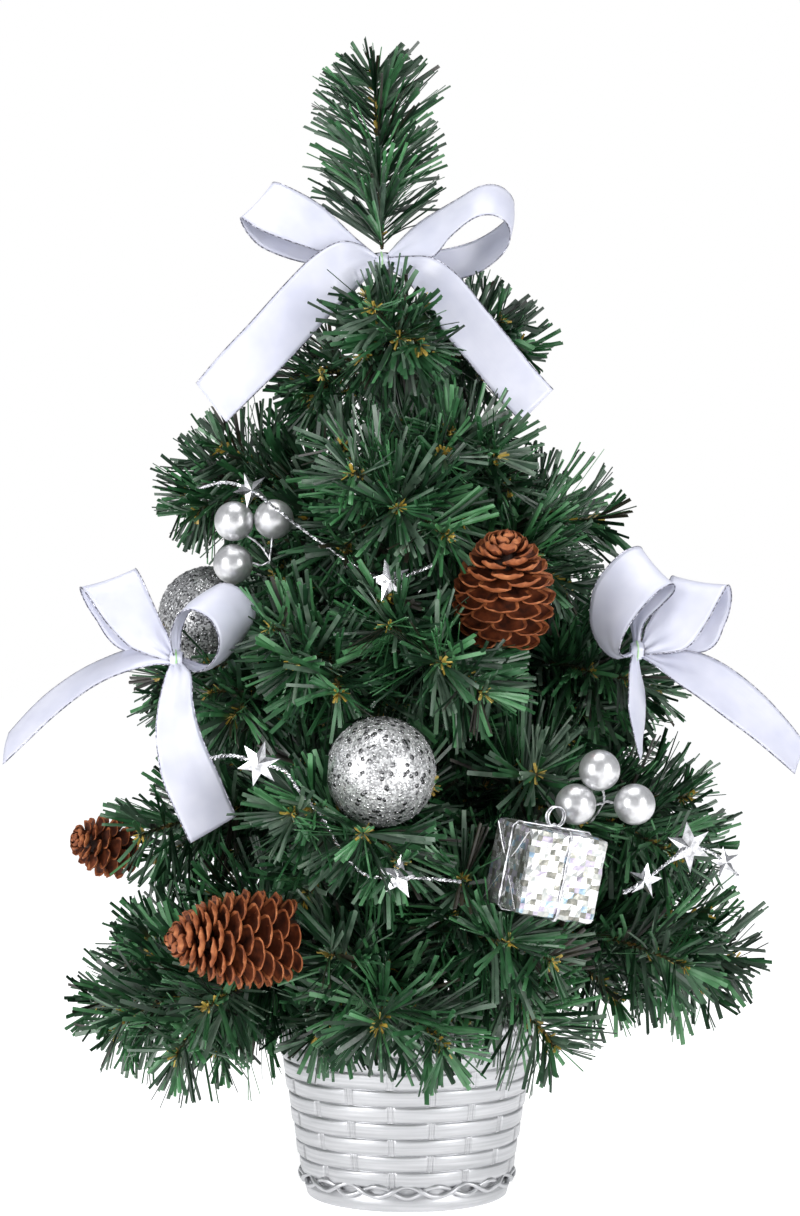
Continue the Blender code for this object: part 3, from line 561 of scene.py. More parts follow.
def sphere_mesh(centre, radius, segments, rings, squash=1.0):
    verts, faces = [(0, 0, radius * squash)], []
    for ring in range(1, rings):
        polar = math.pi * ring / rings
        for k in range(segments):
            turn = 2 * math.pi * k / segments
            verts.append((radius * math.sin(polar) * math.cos(turn), radius * math.sin(polar) * math.sin(turn),
                          radius * squash * math.cos(polar)))
    verts.append((0, 0, -radius * squash))
    for k in range(segments):
        faces.append((0, 1 + k, 1 + (k + 1) % segments))
        last = 1 + (rings - 2) * segments
        faces.append((len(verts) - 1, last + (k + 1) % segments, last + k))
    for ring in range(rings - 2):
        a, b = 1 + ring * segments, 1 + (ring + 1) * segments
        for k in range(segments):
            faces.append((a + k, b + k, b + (k + 1) % segments, a + (k + 1) % segments))
    return np.array(verts) + np.asarray(centre), faces


def flake(centre, normal, radius, thickness, sides, turn):
    """A small flat plate lying on a surface."""
    normal = unit(normal)
    u, v = square_to(normal)
    turns = turn + 2 * math.pi * np.arange(sides) / sides
    ring = np.cos(turns)[:, None] * u + np.sin(turns)[:, None] * v
    low = centre + ring * radius - normal * thickness
    high = centre + ring * radius + normal * thickness
    faces = [tuple(range(sides))[::-1], tuple(range(sides, 2 * sides))]
    faces += [(k, (k + 1) % sides, sides + (k + 1) % sides, sides + k) for k in range(sides)]
    return np.concatenate([low, high]), faces


def make_ball(node, mat, flakes, rng):
    """A foam ball rolled in fine glitter, with larger hexagon flakes caught in it."""
    low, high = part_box(node)
    centre = np.array((low + high) / 2)
    radius = (high.x - low.x) / 2
    shape = Shape()
    shape.add(*sphere_mesh(centre, radius - 0.25 * MM, 64, 40))
    for direction in sphere_points(flakes):
        direction = unit(direction + rng.normal(0, 0.05, 3))
        kind = rng.random()
        size = (0.95 if kind < HEXAGON_SHARE else 0.34 + 0.3 * rng.random()) * MM
        tilt = direction + rng.normal(0, 0.16, 3)
        slot = 1 if kind < HEXAGON_SHARE else (2 if kind < BRIGHT_SHARE else 0)
        place = centre + direction * (radius - 0.2 * MM)
        shape.add(*flake(place, tilt, size, 0.04 * MM, 6, rng.random() * 6), slot)
    return stand_in(shape.object(f"{node}_glitter", [mat, FLAKE_DARK, FLAKE_LIGHT]), node)


def scale_mesh(length, width, thickness, cup):
    """One cone scale: a stalk that widens into a thin round petal with a raised rim, along +X, hollow to +Z."""
    stations = [(0.0, 0.25, 1.0, 0.0), (0.3, 0.6, 1.0, -0.02), (0.55, 0.9, 0.9, -0.02), (0.75, 1.0, 0.8, 0.0),
                (0.88, 0.88, 0.8, 0.03), (0.96, 0.62, 0.8, 0.07), (1.0, 0.34, 0.7, 0.1)]
    verts = []
    across = (-1, -0.82, -0.45, 0, 0.45, 0.82, 1)
    for along, wide, thick, lift in stations:
        for side in (1, -1):
            for a in across if side > 0 else across[::-1]:
                verts.append((length * along, width / 2 * wide * a,
                              length * lift + side * thickness / 2 * thick - cup * width * wide * (1 - a * a)))
    ring = 2 * len(across)
    rim = (0, len(across) - 2, len(across) - 1, len(across), ring - 2, ring - 1)
    slots = []
    for i in range(len(stations) - 1):
        for k in range(ring):
            # Slot 0, each scale's stalk by the core, takes the cone's painted shade; slot 2 is the rim, slot 1 the
            # face
            slots.append(2 if i > 3 or i > 1 and k in rim else min(i, 1))
    return np.array(verts), skin(len(stations), ring, inward=True), slots + [0, 2]


def cone_frame(node):
    """A cone's middle, apex direction, length and radius, from its turned solid."""
    points = node_points(node)
    centre = points.mean(axis=0)
    centred = points - centre
    vectors = np.linalg.eigh(centred.T @ centred)[1]
    spread = np.ptp(centred @ vectors, axis=0)
    axis = vectors[:, int(np.argmax(spread))]
    along = centred @ axis
    reach = np.linalg.norm(centred - along[:, None] * axis, axis=1)
    if reach[along > along.max() * 0.55].max() > reach[along < along.min() * 0.55].max():
        axis, along = -axis, -along
    middle = centre + axis * (along.max() + along.min()) / 2
    return middle, axis, np.ptp(along), reach.max()


def make_cone(node, scales, openness, rng):
    """A pine cone: petals in a spiral round a core, open at the base and closed in a rosette at the apex."""
    middle, axis, length, radius = cone_frame(node)
    u, v = square_to(axis)
    shape = Shape()
    core_path = [middle + axis * length * s for s in np.linspace(-0.44, 0.34, 9)]
    core_radii = [radius * 0.42 * math.sin(math.pi * min(1, 0.3 + 0.62 * i / 8)) + 0.6 * MM for i in range(9)]
    # The core tube takes slot 0, the painted shade of the cone's inside
    shape.add(*tube_mesh(core_path, core_radii, 12), slot=0)
    golden = math.pi * (3 - 5**0.5)

    def lay(turn, rise, size, wide, cup, height, reach):
        """One scale whose tip is at a height along the axis and a reach from it."""
        verts, faces, slots = scale_mesh(size, wide, radius * 0.045, cup)
        outward = u * math.cos(turn) + v * math.sin(turn)
        side = np.cross(axis, outward)
        x_dir = outward * math.cos(rise) + axis * math.sin(rise)
        z_dir = np.cross(x_dir, side)
        foot = middle + axis * height + outward * reach - x_dir * size
        shape.add(foot + verts[:, :1] * x_dir + verts[:, 1:2] * side + verts[:, 2:] * z_dir, faces, slots)

    for i in range(scales):
        share = (i + 0.5) / scales
        girth = math.sin(math.pi * (0.27 + 0.56 * share))
        rise = math.radians(-34 + 62 * share**2.2 + (1 - openness) * 20) + rng.normal(0, 0.06)
        wide = radius * (0.26 + 0.42 * girth) * (1 + 0.08 * rng.normal())
        lay(i * golden, rise, radius * (0.34 + 0.42 * girth), wide, 0.16,
            length * (-0.47 + 0.88 * share), radius * 0.985 * girth)
    for i in range(ROSETTE_SCALES):
        share = i / (ROSETTE_SCALES - 1)
        lay(i * golden + 0.6, math.radians(42 + 36 * share), radius * (0.42 - 0.16 * share),
            radius * (0.44 - 0.24 * share), 0.24, length * (0.43 + 0.09 * share),
            radius * 0.42 * (1 - share) ** 0.8)
    return stand_in(shape.object(f"{node}_scales", [CONE_CORE_SHADE, CONE_FACE, CONE_RIM]), node)


def make_berry(node):
    """A lacquered foam berry with a small dimple where its wire goes in."""
    low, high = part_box(node)
    radius = (high.z - low.z) / 2
    verts, faces = sphere_mesh((0, 0, 0), radius, 48, 32)
    dip = np.exp(-((np.linalg.norm(verts - vec(0, radius, 0), axis=1) / (1.2 * MM)) ** 2))
    verts[:, 1] -= dip * 0.5 * MM
    wobble = np.array([noise.noise(Vector(p) * 120) for p in verts])
    verts *= (1 + 0.006 * wobble)[:, None]
    return stand_in(build(f"{node}_lacquered", verts + np.array(node_centre(node)), faces, [BERRY]), node)


def make_stems(pick):
    """The pick's three wires, each with a thin one wound round it, tied into the needles at one place."""
    node = f"{pick}_berry_stems"
    low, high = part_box(f"{pick}_berry_1")
    radius = (high.z - low.z) / 2
    tip = branch_tips[body_node(node) + "_branch"]
    joint = node_points(node).mean(axis=0)
    root = tip + (joint - tip) * 0.15
    shape = Shape()
    for side in (-1, 0, 1):
        centre = np.array(node_centre(f"{pick}_berry_{side + 2}"))
        reach = unit(centre - joint)
        end = centre - reach * radius * 0.97
        swing = np.cross(reach, vec(0, 1, 0)) * 1.2 * MM * side
        path = catmull([root + vec(0.5, 0, 0.3) * MM * side, joint + swing * 0.2,
                        (joint + end) / 2 + swing, end], 8)
        shape.add(*tube_mesh(path, 0.42 * MM, 8))
        steps = np.arange(len(path))
        wound = np.stack([np.cos(steps * 1.3), np.sin(steps * 1.3), np.cos(steps * 0.9)], axis=1)
        shape.add(*tube_mesh(path + wound * 0.45 * MM, 0.2 * MM, 6))
    stand_in(shape.object(f"{node}_twisted", [STEM]), node)


def gift_frame():
    """The gift box's centre, side and axes, from its six largest flat faces."""
    areas = {}
    for poly in frame["nodes"]["gift_box"].data.polygons:
        normal = np.array(poly.normal)
        key = next((known for known in areas if np.dot(known, normal) > 0.999), tuple(normal))
        areas[key] = areas.get(key, 0) + poly.area
    normals = [np.array(n) for n, _ in sorted(areas.items(), key=lambda item: -item[1])[:6]]
    z_axis = max(normals, key=lambda n: n[2])
    front = min(normals, key=lambda n: n[1])
    x_axis = unit(np.cross(-front, z_axis))
    side = np.ptp(node_points("gift_box") @ z_axis)
    return np.array(node_centre("gift_box")), side, x_axis, np.cross(x_axis, z_axis), z_axis


def make_gift(rng):
    """The foil-wrapped block: every face a sheet of little tilted facets, with the wrap's folded edges."""
    centre, side, *axes = gift_frame()
    x_axis, y_axis, z_axis = axes
    half = side / 2
    shape = Shape()
    grid, verts, faces = {}, [], []

    def place(key):
        """A shared corner of the lattice over the box, softly rounded and puckered."""
        if key not in grid:
            soft = (np.array(key) / FOIL_CELLS * 2 - 1) * half
            inner = np.clip(soft, -(half - FOIL_ROUNDING), half - FOIL_ROUNDING)
            out = soft - inner
            size = np.linalg.norm(out)
            if size > 0:
                soft = inner + out / size * min(size, FOIL_ROUNDING)
            soft = soft + rng.normal(0, FOIL_PUCKER, 3)
            grid[key] = len(verts)
            verts.append(centre + soft[0] * x_axis + soft[1] * y_axis + soft[2] * z_axis)
        return grid[key]

    for axis in range(3):
        for level in (0, FOIL_CELLS):
            for a in range(FOIL_CELLS):
                for b in range(FOIL_CELLS):
                    corners = []
                    for da, db in ((0, 0), (1, 0), (1, 1), (0, 1)):
                        corners.append(place(tuple(np.roll((level, a + da, b + db), axis).tolist())))
                    faces.append(tuple(corners if level else corners[::-1]))
    # Each facet's foil, picked at random, is its painted reflection
    shape.add(verts, faces, [int(k) for k in rng.choice(len(FOIL_REFLECTIONS), len(faces), p=FOIL_REFLECTION_SHARES)])
    for sign in (-1, 1):
        for tilt in (-1, 1):
            a = centre + sign * x_axis * (half + 0.35 * MM) + tilt * z_axis * half * 0.9
            path = [a - y_axis * half * 0.85, a - tilt * z_axis * half * 0.75, a + y_axis * half * 0.85]
            shape.add(*tube_mesh(catmull(path, 4), 0.28 * MM, 6))
    box = stand_in(shape.object("gift_box_foil", FOIL_REFLECTIONS, smooth=False), "gift_box")
    make_cord(centre, half + CORD_HEIGHT, *axes)
    return box


def make_cord(centre, out, x_axis, y_axis, z_axis):
    """Two twisted bands round the box, and the loop and knot on its top."""
    cord = Shape()
    near = out - FOIL_ROUNDING
    square = [(near, out), (out, near), (out, -near), (near, -out),
              (-near, -out), (-out, -near), (-out, near), (-near, out)]
    for first in (x_axis, y_axis):
        loop = [centre + first * p + z_axis * q for p, q in square]
        loop = np.concatenate([np.linspace(loop[i], loop[(i + 1) % 8], 9)[:-1] for i in range(8)])
        for strand in range(2):
            twist = np.arange(len(loop)) * 1.15 + strand * math.pi
            lift = np.cos(twist)[:, None] * np.cross(first, z_axis)
            cord.add(*tube_mesh(loop + lift * 0.35 * MM, 0.36 * MM, 6, closed=True))
    for sign in (-1, 1):
        points = []
        for k in range(25):
            turn = 2 * math.pi * k / 24
            points.append(centre + z_axis * (out + 3.6 * MM * (1 - math.cos(turn)))
                          + x_axis * (3.3 * MM * math.sin(turn) + sign * 0.3 * MM)
                          + y_axis * sign * 0.35 * MM)
        cord.add(*tube_mesh(points, 0.34 * MM, 6))
    cord.add(*sphere_mesh(centre + z_axis * (out + 0.4 * MM), 1.1 * MM, 12, 8))
    stand_in(cord.object("gift_cord_twisted", [CORD]), "gift_cord")


# Ribbons: ribs across the ribbon as in the CAD solids, in millimetres from the knot, from one edge to the other

TOP_BOW = {
    "left_loop": [
        (-1, 0, -1.5, -1, 1, 1.5), (-16, -3, 1.5, -11, 1, 10), (-32, -7, 6, -23.4, 3, 22),
        (-46, -9, 11, -36, 2, 29), (-53.8, -7, 16, -42.2, 5, 31), (-51, -3, 10, -40, 9, 25),
        (-44, 1, 4.6, -34, 12, 20), (-27, 3, -0.4, -20, 12, 13), (-1, 2.5, -1.5, -1, 3, 1.5),
    ],
    "right_loop": [
        (1, 0, -1.5, 1, 1, 1.5), (10, -3, -1, 6.5, 2, 8), (19.6, -7, 1, 15, 4, 16),
        (26.5, -8, 8.8, 29.4, 6, 25), (35, -8, 15.5, 38, 7, 30), (42, -7, 17, 45, 9, 30.5),
        (47.5, -5, 14.5, 50, 11, 27), (49.3, -2, 9, 51, 13, 22), (46, 0, 2.5, 46, 15, 16),
        (37, 2, -4, 36, 16, 10), (26, 3, -6.3, 23, 12, 6), (10, 3, -3, 9, 7, 4), (1, 2.5, -1.5, 1, 3, 1.5),
    ],
    "left_tail": [
        (-1, 0, 1.5, -1, 0, -2), (-8, -4, 5.8, -5, -4, -6), (-16, -9, 6.5, -11, -8, -12.5),
        (-26, -12, 0.5, -17, -12, -19), (-37, -13, -10.5, -26, -14, -29), (-50, -13, -25, -38, -16, -42),
        (-61, -12, -36.5, -49, -16, -53), (-70.5, -11, -47.6, -58.8, -16, -62.6),
    ],
    "right_tail": [
        (1, 0, 1.5, 1, 0, -2), (10, -5, 1.5, 7, -5, -6), (19.6, -11, 0, 12, -10, -11),
        (29, -14, -7, 18, -14, -19), (38, -14, -18, 24, -16, -29), (48, -13, -30, 34, -16, -41),
        (57, -12, -41, 43, -16, -52), (65.3, -11, -50, 53, -16, -62.6),
    ],
}
LEFT_BOW = {
    "left_loop": [
        (-1, 0, -1, -1, 0.5, 2), (-11, -3, 2.5, -3, 0, 9), (-17, -5, 5.5, -5.5, 0, 14),
        (-25, -6, 14, -9, 2, 21.5), (-31.8, -4, 23.7, -13, 4, 30), (-35, 0, 26.5, -15.5, 8, 33.5),
        (-34, 4, 22, -15, 12, 30), (-30.3, 6, 15.5, -11.5, 14, 22), (-21.4, 6, 4.3, -8, 10, 11),
        (-1, 2.5, -1, -1, 3, 2),
    ],
    "right_loop": [
        (0, 0, -1, 1, 1, 2), (-1.5, -6, 8, 2, 2, 12), (0.5, -9, 14.5, 6, 4, 20), (3.5, -11, 18, 12, 5, 26),
        (8, -12, 18, 18, 5, 28), (13.6, -12, 14.3, 25, 5, 24.5), (16.3, -11, 8, 28.6, 6, 17.5),
        (15.5, -9, 2.5, 25.5, 7, 10), (12.5, -7, -1.6, 19.5, 6, 2), (7.6, -4, -4, 12, 4, -2),
        (1, 1, -2, 1.5, 2, 1),
    ],
    "left_tail": [
        (-1, 1, 1.5, -1, 0, -1.5), (-9, 3, 4, -8, -4, -1.5), (-17, 6, 4, -16, -8, -3.5),
        (-27, 8, 0.5, -25, -8, -7), (-37, 9, -4.5, -34, -8, -12.5), (-47, 9, -11.5, -44, -8, -20.5),
        (-55, 8, -19, -52, -8, -28), (-62, 7, -27, -62, -8, -37.5),
    ],
    "right_tail": [
        (-1.5, 0, -1, 2, 0, -1), (-3.5, -5, -6, 5.8, -5, -5), (-5.5, -9, -15, 6.5, -7, -14),
        (-6.3, -12, -25, 8.5, -7, -23.5), (-5.5, -13, -34, 11.5, -6, -32), (-3.5, -12, -44, 16, -5, -42),
        (1, -10, -55, 19, -4, -49.5), (5.8, -8, -66, 22.1, -3, -56.6),
    ],
}
RIGHT_BOW = {
    "left_loop": [
        (-1.5, 1, -1, -1, -1, -1), (-8, 1, -3, -5, -5, -2), (-14, 2, 2, -7.4, -10, 0.5),
        (-17.3, 3, 11, -5.5, -12, 7), (-16, 3, 23, -1.5, -11, 13), (-11, 3, 31, 4, -10, 19.5),
        (-4.5, 5, 37, 9, -8, 23.5), (1.2, 8, 39, 13, -5, 24.8), (3, 12, 36, 13.5, -1, 22),
        (0, 12, 28, 9, 0.5, 17), (-3, 9, 16, 3, 0.5, 11), (-1, 5, 5, 1, 1, 4), (-1, 2, -1, 1, 1, -1),
    ],
    "right_loop": [
        (1, 1, 1, 1, 0, -1.5), (3.5, 1, 9, 10, -4, -0.6), (6.8, 2, 15.4, 18, -7, 1.5),
        (9.5, 3, 21, 24.5, -8, 10), (12.3, 5, 26, 29.5, -7, 19), (14, 9, 28, 33.5, -3, 24.5),
        (16, 13, 26, 35.1, 1, 19), (14, 14, 18, 33, 4, 10), (9, 9, 8, 26, 5, 0), (1, 3, 1, 1, 2, -1.5),
    ],
    "right_tail": [
        (1, 0, 1, 1, 0, -2), (10, 1, -1, 7, -5, -6), (19, 3, 0, 14, -8, -11.5), (28, 4, -2.5, 22, -9, -17),
        (38, 5, -8.5, 32, -9, -24.5), (48, 5, -17, 42, -9, -32), (57, 4, -27, 51, -9, -39.5),
        (63, 3, -35, 57.3, -9, -45),
    ],
    "left_tail": [
        (-2, -1, -1, 0, 1, -1), (-3.5, -6, -6, 1, 2, -6), (-4, -10, -14, 3, 7, -13),
        (-4, -12, -22, 3.7, 8, -20), (-2, -11, -31, 3.4, 9, -28), (0.3, -9, -40, 2, 8, -35),
    ],
}
LONGEST_TAIL = 8
RIB_STEPS = 7
RIBBON_ACROSS = 13
GATHER = 9 * MM
KNOT_AHEAD = 7.2 * MM
KNOT_STEPS = 41


def ribbon_sheet(ribs, knot):
    """Rows of points along a smooth, slightly cupped ribbon, gathered at the knot (a loop at both ends)."""
    near = catmull([knot + np.array(rib[:3]) * MM for rib in ribs], RIB_STEPS)
    far = catmull([knot + np.array(rib[3:]) * MM for rib in ribs], RIB_STEPS)
    middle = (near + far) / 2
    along = arc_lengths(middle)
    widths = far - near
    normals = units(np.cross(np.gradient(middle, axis=0), widths))
    shares = np.linspace(0, 1, RIBBON_ACROSS)
    is_loop = len(ribs) > LONGEST_TAIL
    rows = []
    for i in range(len(near)):
        slack = max(0.0, RIBBON_WIDTH - np.linalg.norm(widths[i]))
        gather = math.exp(-along[i] / GATHER) + math.exp(-(along[-1] - along[i]) / GATHER) * is_loop
        folds = np.sin(shares * math.pi * 5 + 0.6) * gather * min(slack, 6 * MM) * 0.11
        cup = np.sin(shares * math.pi) * 0.7 * MM
        rows.append(near[i] + np.outer(shares, widths[i]) + np.outer(folds + cup, normals[i]))
    return np.array(rows), along


def add_ribbon(shape, uvs, rows, along):
    """A closed thin sheet from its rows of points, with its edge threads."""
    count, across = rows.shape[:2]
    normals = units(np.cross(np.gradient(rows, axis=0), np.gradient(rows, axis=1)))
    half = normals * RIBBON_THICKNESS / 2
    flip = count * across
    faces = []
    for i in range(count - 1):
        for k in range(across - 1):
            a, b = i * across + k, (i + 1) * across + k
            faces.append((a, b, b + 1, a + 1))
            faces.append((flip + a, flip + a + 1, flip + b + 1, flip + b))
    for i in range(count - 1):
        a, b = i * across, (i + 1) * across
        faces.append((a, flip + a, flip + b, b))
        a, b = a + across - 1, b + across - 1
        faces.append((a, b, flip + b, flip + a))
    for k in range(across - 1):
        faces.append((k, k + 1, flip + k + 1, flip + k))
        a = (count - 1) * across + k
        faces.append((a, flip + a, flip + a + 1, a + 1))
    shape.add(np.concatenate([(rows + half).reshape(-1, 3), (rows - half).reshape(-1, 3)]), faces, 0)
    uv = np.stack([np.tile(np.linspace(0, RIBBON_WIDTH, across), count), np.repeat(along, across)], axis=1)
    uvs += [uv, uv]
    for edge in (0, across - 1):
        verts, faces = tube_mesh(rows[:, edge], EDGE_THREAD_RADIUS, 5)
        shape.add(verts, faces, 1)
        uvs.append(np.zeros((len(verts), 2)))


def make_bow(node, strips):
    """A tied bow: two loops and two tails of satin ribbon round a wrapped knot."""
    tie = np.array(node_centre(node + "_tie"))
    knot = vec(tie[0], tie[1] - KNOT_AHEAD, tie[2])
    shape, uvs, length = Shape(), [], 0
    for ribs in strips.values():
        rows, along = ribbon_sheet(ribs, knot)
        add_ribbon(shape, uvs, rows, along)
        length += along[-1]
    middle = knot + vec(0, 1, 0) * MM
    ring = []
    for turn in np.linspace(0, 2 * math.pi, KNOT_STEPS):
        wrinkle = 1 + 0.06 * math.sin(5 * turn)
        ring.append([middle + vec(x * 2.4 * MM, 3.0 * MM * wrinkle * math.cos(turn) * (1 - 0.25 * x * x),
                                  3.4 * MM * wrinkle * math.sin(turn) * (1 - 0.25 * x * x))
                     for x in np.linspace(-1, 1, 9)])
    add_ribbon(shape, uvs, np.array(ring), np.linspace(0, 20 * MM, KNOT_STEPS))
    bow = build(f"{node}_satin", np.concatenate(shape.verts), shape.faces, [SATIN, LUREX], shape.slots,
                uvs=np.concatenate(uvs))
    stand_in(bow, node)
    return bow


def make_tie(node):
    """The pale wire loop behind a knot, and its band over the knot's front."""
    low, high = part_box(node)
    centre = np.array(node_centre(node))
    radius = (high.z - low.z) / 2 - 0.5 * MM
    shape = Shape()
    loop = [centre + radius * vec(0.1 * math.sin(3 * t), math.cos(t), math.sin(t))
            for t in np.linspace(0, 2 * math.pi, 25)[:-1]]
    shape.add(*tube_mesh(loop, 0.5 * MM, 8, closed=True))
    front = centre - vec(0, radius + 6.6 * MM, 0)
    band = [front + vec(0.25 * math.cos(2 * t), 2.6 * math.cos(t) + 2.0, 3.7 * math.sin(t)) * MM
            for t in np.linspace(0.55 * math.pi, 1.45 * math.pi, 17)]
    shape.add(*tube_mesh(band, 0.38 * MM, 8))
    stand_in(shape.object(f"{node}_wire", [TIE]), node)


# Star garlands: a star's place on its route, radius in millimetres and arms; routes from their branch's tip


def star_mesh(centre, radius, points, turn, rng):
    """A die-cut foil star, creased along its arms."""
    inner = radius * 0.42
    rim = []
    for k in range(2 * points):
        reach = radius if k % 2 == 0 else inner
        angle = math.pi * k / points + turn
        bend = rng.normal(0, 0.05 * radius)
        rim.append((reach * math.sin(angle), bend, reach * math.cos(angle)))
    rim = np.array(rim)
    front = np.concatenate([rim + vec(0, -0.09, 0) * MM, [vec(0, -1.0, 0) * MM]])
    back = np.concatenate([rim + vec(0, 0.09, 0) * MM, [vec(0, -0.8, 0) * MM]])
    lean = Matrix.Rotation(rng.normal(0, 0.22), 3, "X") @ Matrix.Rotation(rng.normal(0, 0.3), 3, "Z")
    verts = np.concatenate([front, back]) @ np.array(lean).T + centre
    count = 2 * points
    faces = []
    for k in range(count):
        after = (k + 1) % count
        faces.append((count, k, after))
        faces.append((2 * count + 1, count + 1 + after, count + 1 + k))
        faces.append((k, count + 1 + k, count + 1 + after, after))
    return verts, [f[::-1] for f in faces]


STRAND_STARS = {
    "upper_garland_strand": [(2, 7.0, 5), (7, 8.0, 5)],
    "middle_garland_strand": [(2, 8.5, 6), (8, 8.0, 5)],
    "right_garland_strand": [(1, 6.5, 5), (3, 9.5, 6), (5, 6.0, 5)],
}
STRAND_ROUTES = {
    "upper_garland_strand": [
        (-74, 50, 9.5), (-64, 38, 11), (-54, 33, 8), (-46, 33, 2), (-37, 33, -5), (-26, 29, -13),
        (-14, 20, -21), (-3, 11, -25.5), (5, 8, -23), (12, 9, -20)],
    "middle_garland_strand": [
        (-55, 30, 24), (-46, 25, 25), (-37, 20, 22.5), (-28, 18, 20), (-22, 18, 12), (-15, 19, 4),
        (-7, 16, -9), (1, 12, -16), (12, 10, -16.5), (24, 9, -17), (34, 9, -18)],
    "right_garland_strand": [
        (-44, -96, -6), (-36, -90, -2), (-27, -84, 4), (-19, -78, 9), (-11, -70, 7), (-4, -62, 2),
        (2, -55, -4)],
}


def make_strand(node, rng):
    """Two foil-wrapped wires twisted together, with flecks of foil and stars threaded on."""
    points = [branch_tips[body_node(node) + "_branch"] + np.array(p) * MM for p in STRAND_ROUTES[node]]
    path = catmull(points, 12)
    shape = Shape()
    along, rights, ups = add_twist(shape, path, 3.2 * MM, 0.42 * MM, 0.34 * MM)
    for _ in range(int(along[-1] / (1.6 * MM))):
        i = rng.integers(0, len(path))
        direction = rights[i] * rng.normal() + ups[i] * rng.normal()
        lean = direction + rng.normal(0, 0.3, 3)
        shape.add(*flake(path[i] + direction * 0.5 * MM, lean, 0.5 * MM, 0.05 * MM, 4, rng.random() * 6))
    for place, radius, count in STRAND_STARS[node]:
        shape.add(*star_mesh(points[place], radius * MM, count, rng.normal(0, 0.3), rng))
    stand_in(shape.object(f"{node}_tinsel", [TINSEL], smooth=False), node)


# Branches


def main_line(points, root):
    """The centre line of a brush from its root to its farthest end, read from its rings of points."""
    farthest = points[np.argmax(np.linalg.norm(points - root, axis=1))]
    tip = points[np.linalg.norm(points - farthest, axis=1) < 5 * MM].mean(axis=0)
    chord = tip - root
    length = np.linalg.norm(chord)
    direction = chord / length
    share = (points - root) @ direction / length
    off = np.linalg.norm((points - root) - np.outer(share * length, direction), axis=1)
    near = (share > 0.5) & (share < 0.6) & (off < 11 * MM)
    middle = points[near].mean(axis=0) if near.sum() > 3 else (root + tip) / 2
    centre_share = float(np.clip((middle - root) @ direction / length, 0.4, 0.65))
    arch = (middle - root - chord * centre_share) / (4 * centre_share * (1 - centre_share))
    return arched(root, chord, arch, 41)


def lines_of(node, root, limit=3):
    """A branch's main line and those of its sprigs, found from the ends of its solid."""
    left = node_points(node)
    lines = [main_line(left, root)]
    for _ in range(limit):
        near = np.min(np.linalg.norm(left[:, None] - np.concatenate(lines)[None], axis=2), axis=1)
        left = left[near > 9 * MM]
        if len(left) < 6:
            break
        far = left[np.argmax(np.linalg.norm(left - root, axis=1))]
        tip = left[np.linalg.norm(left - far, axis=1) < 5 * MM].mean(axis=0)
        base = lines[0][16]
        lines.append(arched(base, tip - base, vec(0, 0, 1) * 2 * MM, 31))
    return lines


def shortened(line, less):
    """The line without its last stretch, where only the needles of its end reach."""
    along = arc_lengths(line)
    wanted = np.linspace(0, max(along[-1] - less, 0.3 * along[-1]), len(line))
    return np.stack([np.interp(wanted, along, line[:, k]) for k in range(3)], axis=1)


def fill_lines(node, rng):
    """The short sprigs that fill a branch out, above, below and to both sides of its wire."""
    if node == "top_tip":
        return []
    main = branch_lines[node][0]
    reach = np.linalg.norm(main[-1] - main[0])
    lines = []
    for share, turn, rise, length in FILL_SPRIGS:
        i = int(share * (len(main) - 1))
        ahead = unit(main[i + 3] - main[i])
        side = unit(np.cross(ahead, [0, 0, 1]))
        up = np.cross(side, ahead)
        a = math.radians(turn + rng.normal(0, 5))
        b = math.radians(rise + rng.normal(0, 5))
        way = ahead * math.cos(a) * math.cos(b) + side * math.sin(a) * math.cos(b) + up * math.sin(b)
        long = length * min(1.15, reach / (90 * MM)) * (0.9 + 0.2 * rng.random())
        lines.append(arched(main[i], way * long, vec(0, 0, 1) * 1.5 * MM, 15))
    return lines


def needle_block(bases, dirs, ups, lengths, widths, bends, slots):
    """Verts and faces of many needles: flat strips with a faint ridge, square ends and a slight curl."""
    stations = [(0.0, 0.5), (0.5, 1.0), (1.0, 0.94)]
    rings = len(stations)
    sides = units(np.cross(dirs, ups))
    ups = np.cross(sides, dirs)
    count = len(bases)
    verts = np.empty((count, 3 * rings, 3))
    for s, (t, wide) in enumerate(stations):
        centre = bases + dirs * (lengths * t)[:, None] + bends * (lengths * t * t)[:, None]
        half = sides * (widths * wide / 2)[:, None]
        verts[:, s * 3] = centre - half
        verts[:, s * 3 + 1] = centre + half
        verts[:, s * 3 + 2] = centre + ups * NEEDLE_THICKNESS * wide
    pattern = []
    for a in range(0, 3 * rings - 3, 3):
        b = a + 3
        pattern += [(a, a + 1, b + 1, b), (a + 1, a + 2, b + 2, b + 1), (a + 2, a, b, b + 2)]
    start = np.arange(count)[:, None, None] * 3 * rings
    faces = [tuple(f) for f in (np.array(pattern)[None] + start).reshape(-1, 4)]
    last = 3 * (rings - 1)
    ends = np.array([(0, 2, 1), (last, last + 1, last + 2)])
    faces += [tuple(f) for f in (ends[None] + start).reshape(-1, 3)]
    return verts.reshape(-1, 3), faces, [*np.repeat(slots, len(pattern)), *np.repeat(slots, len(ends))]


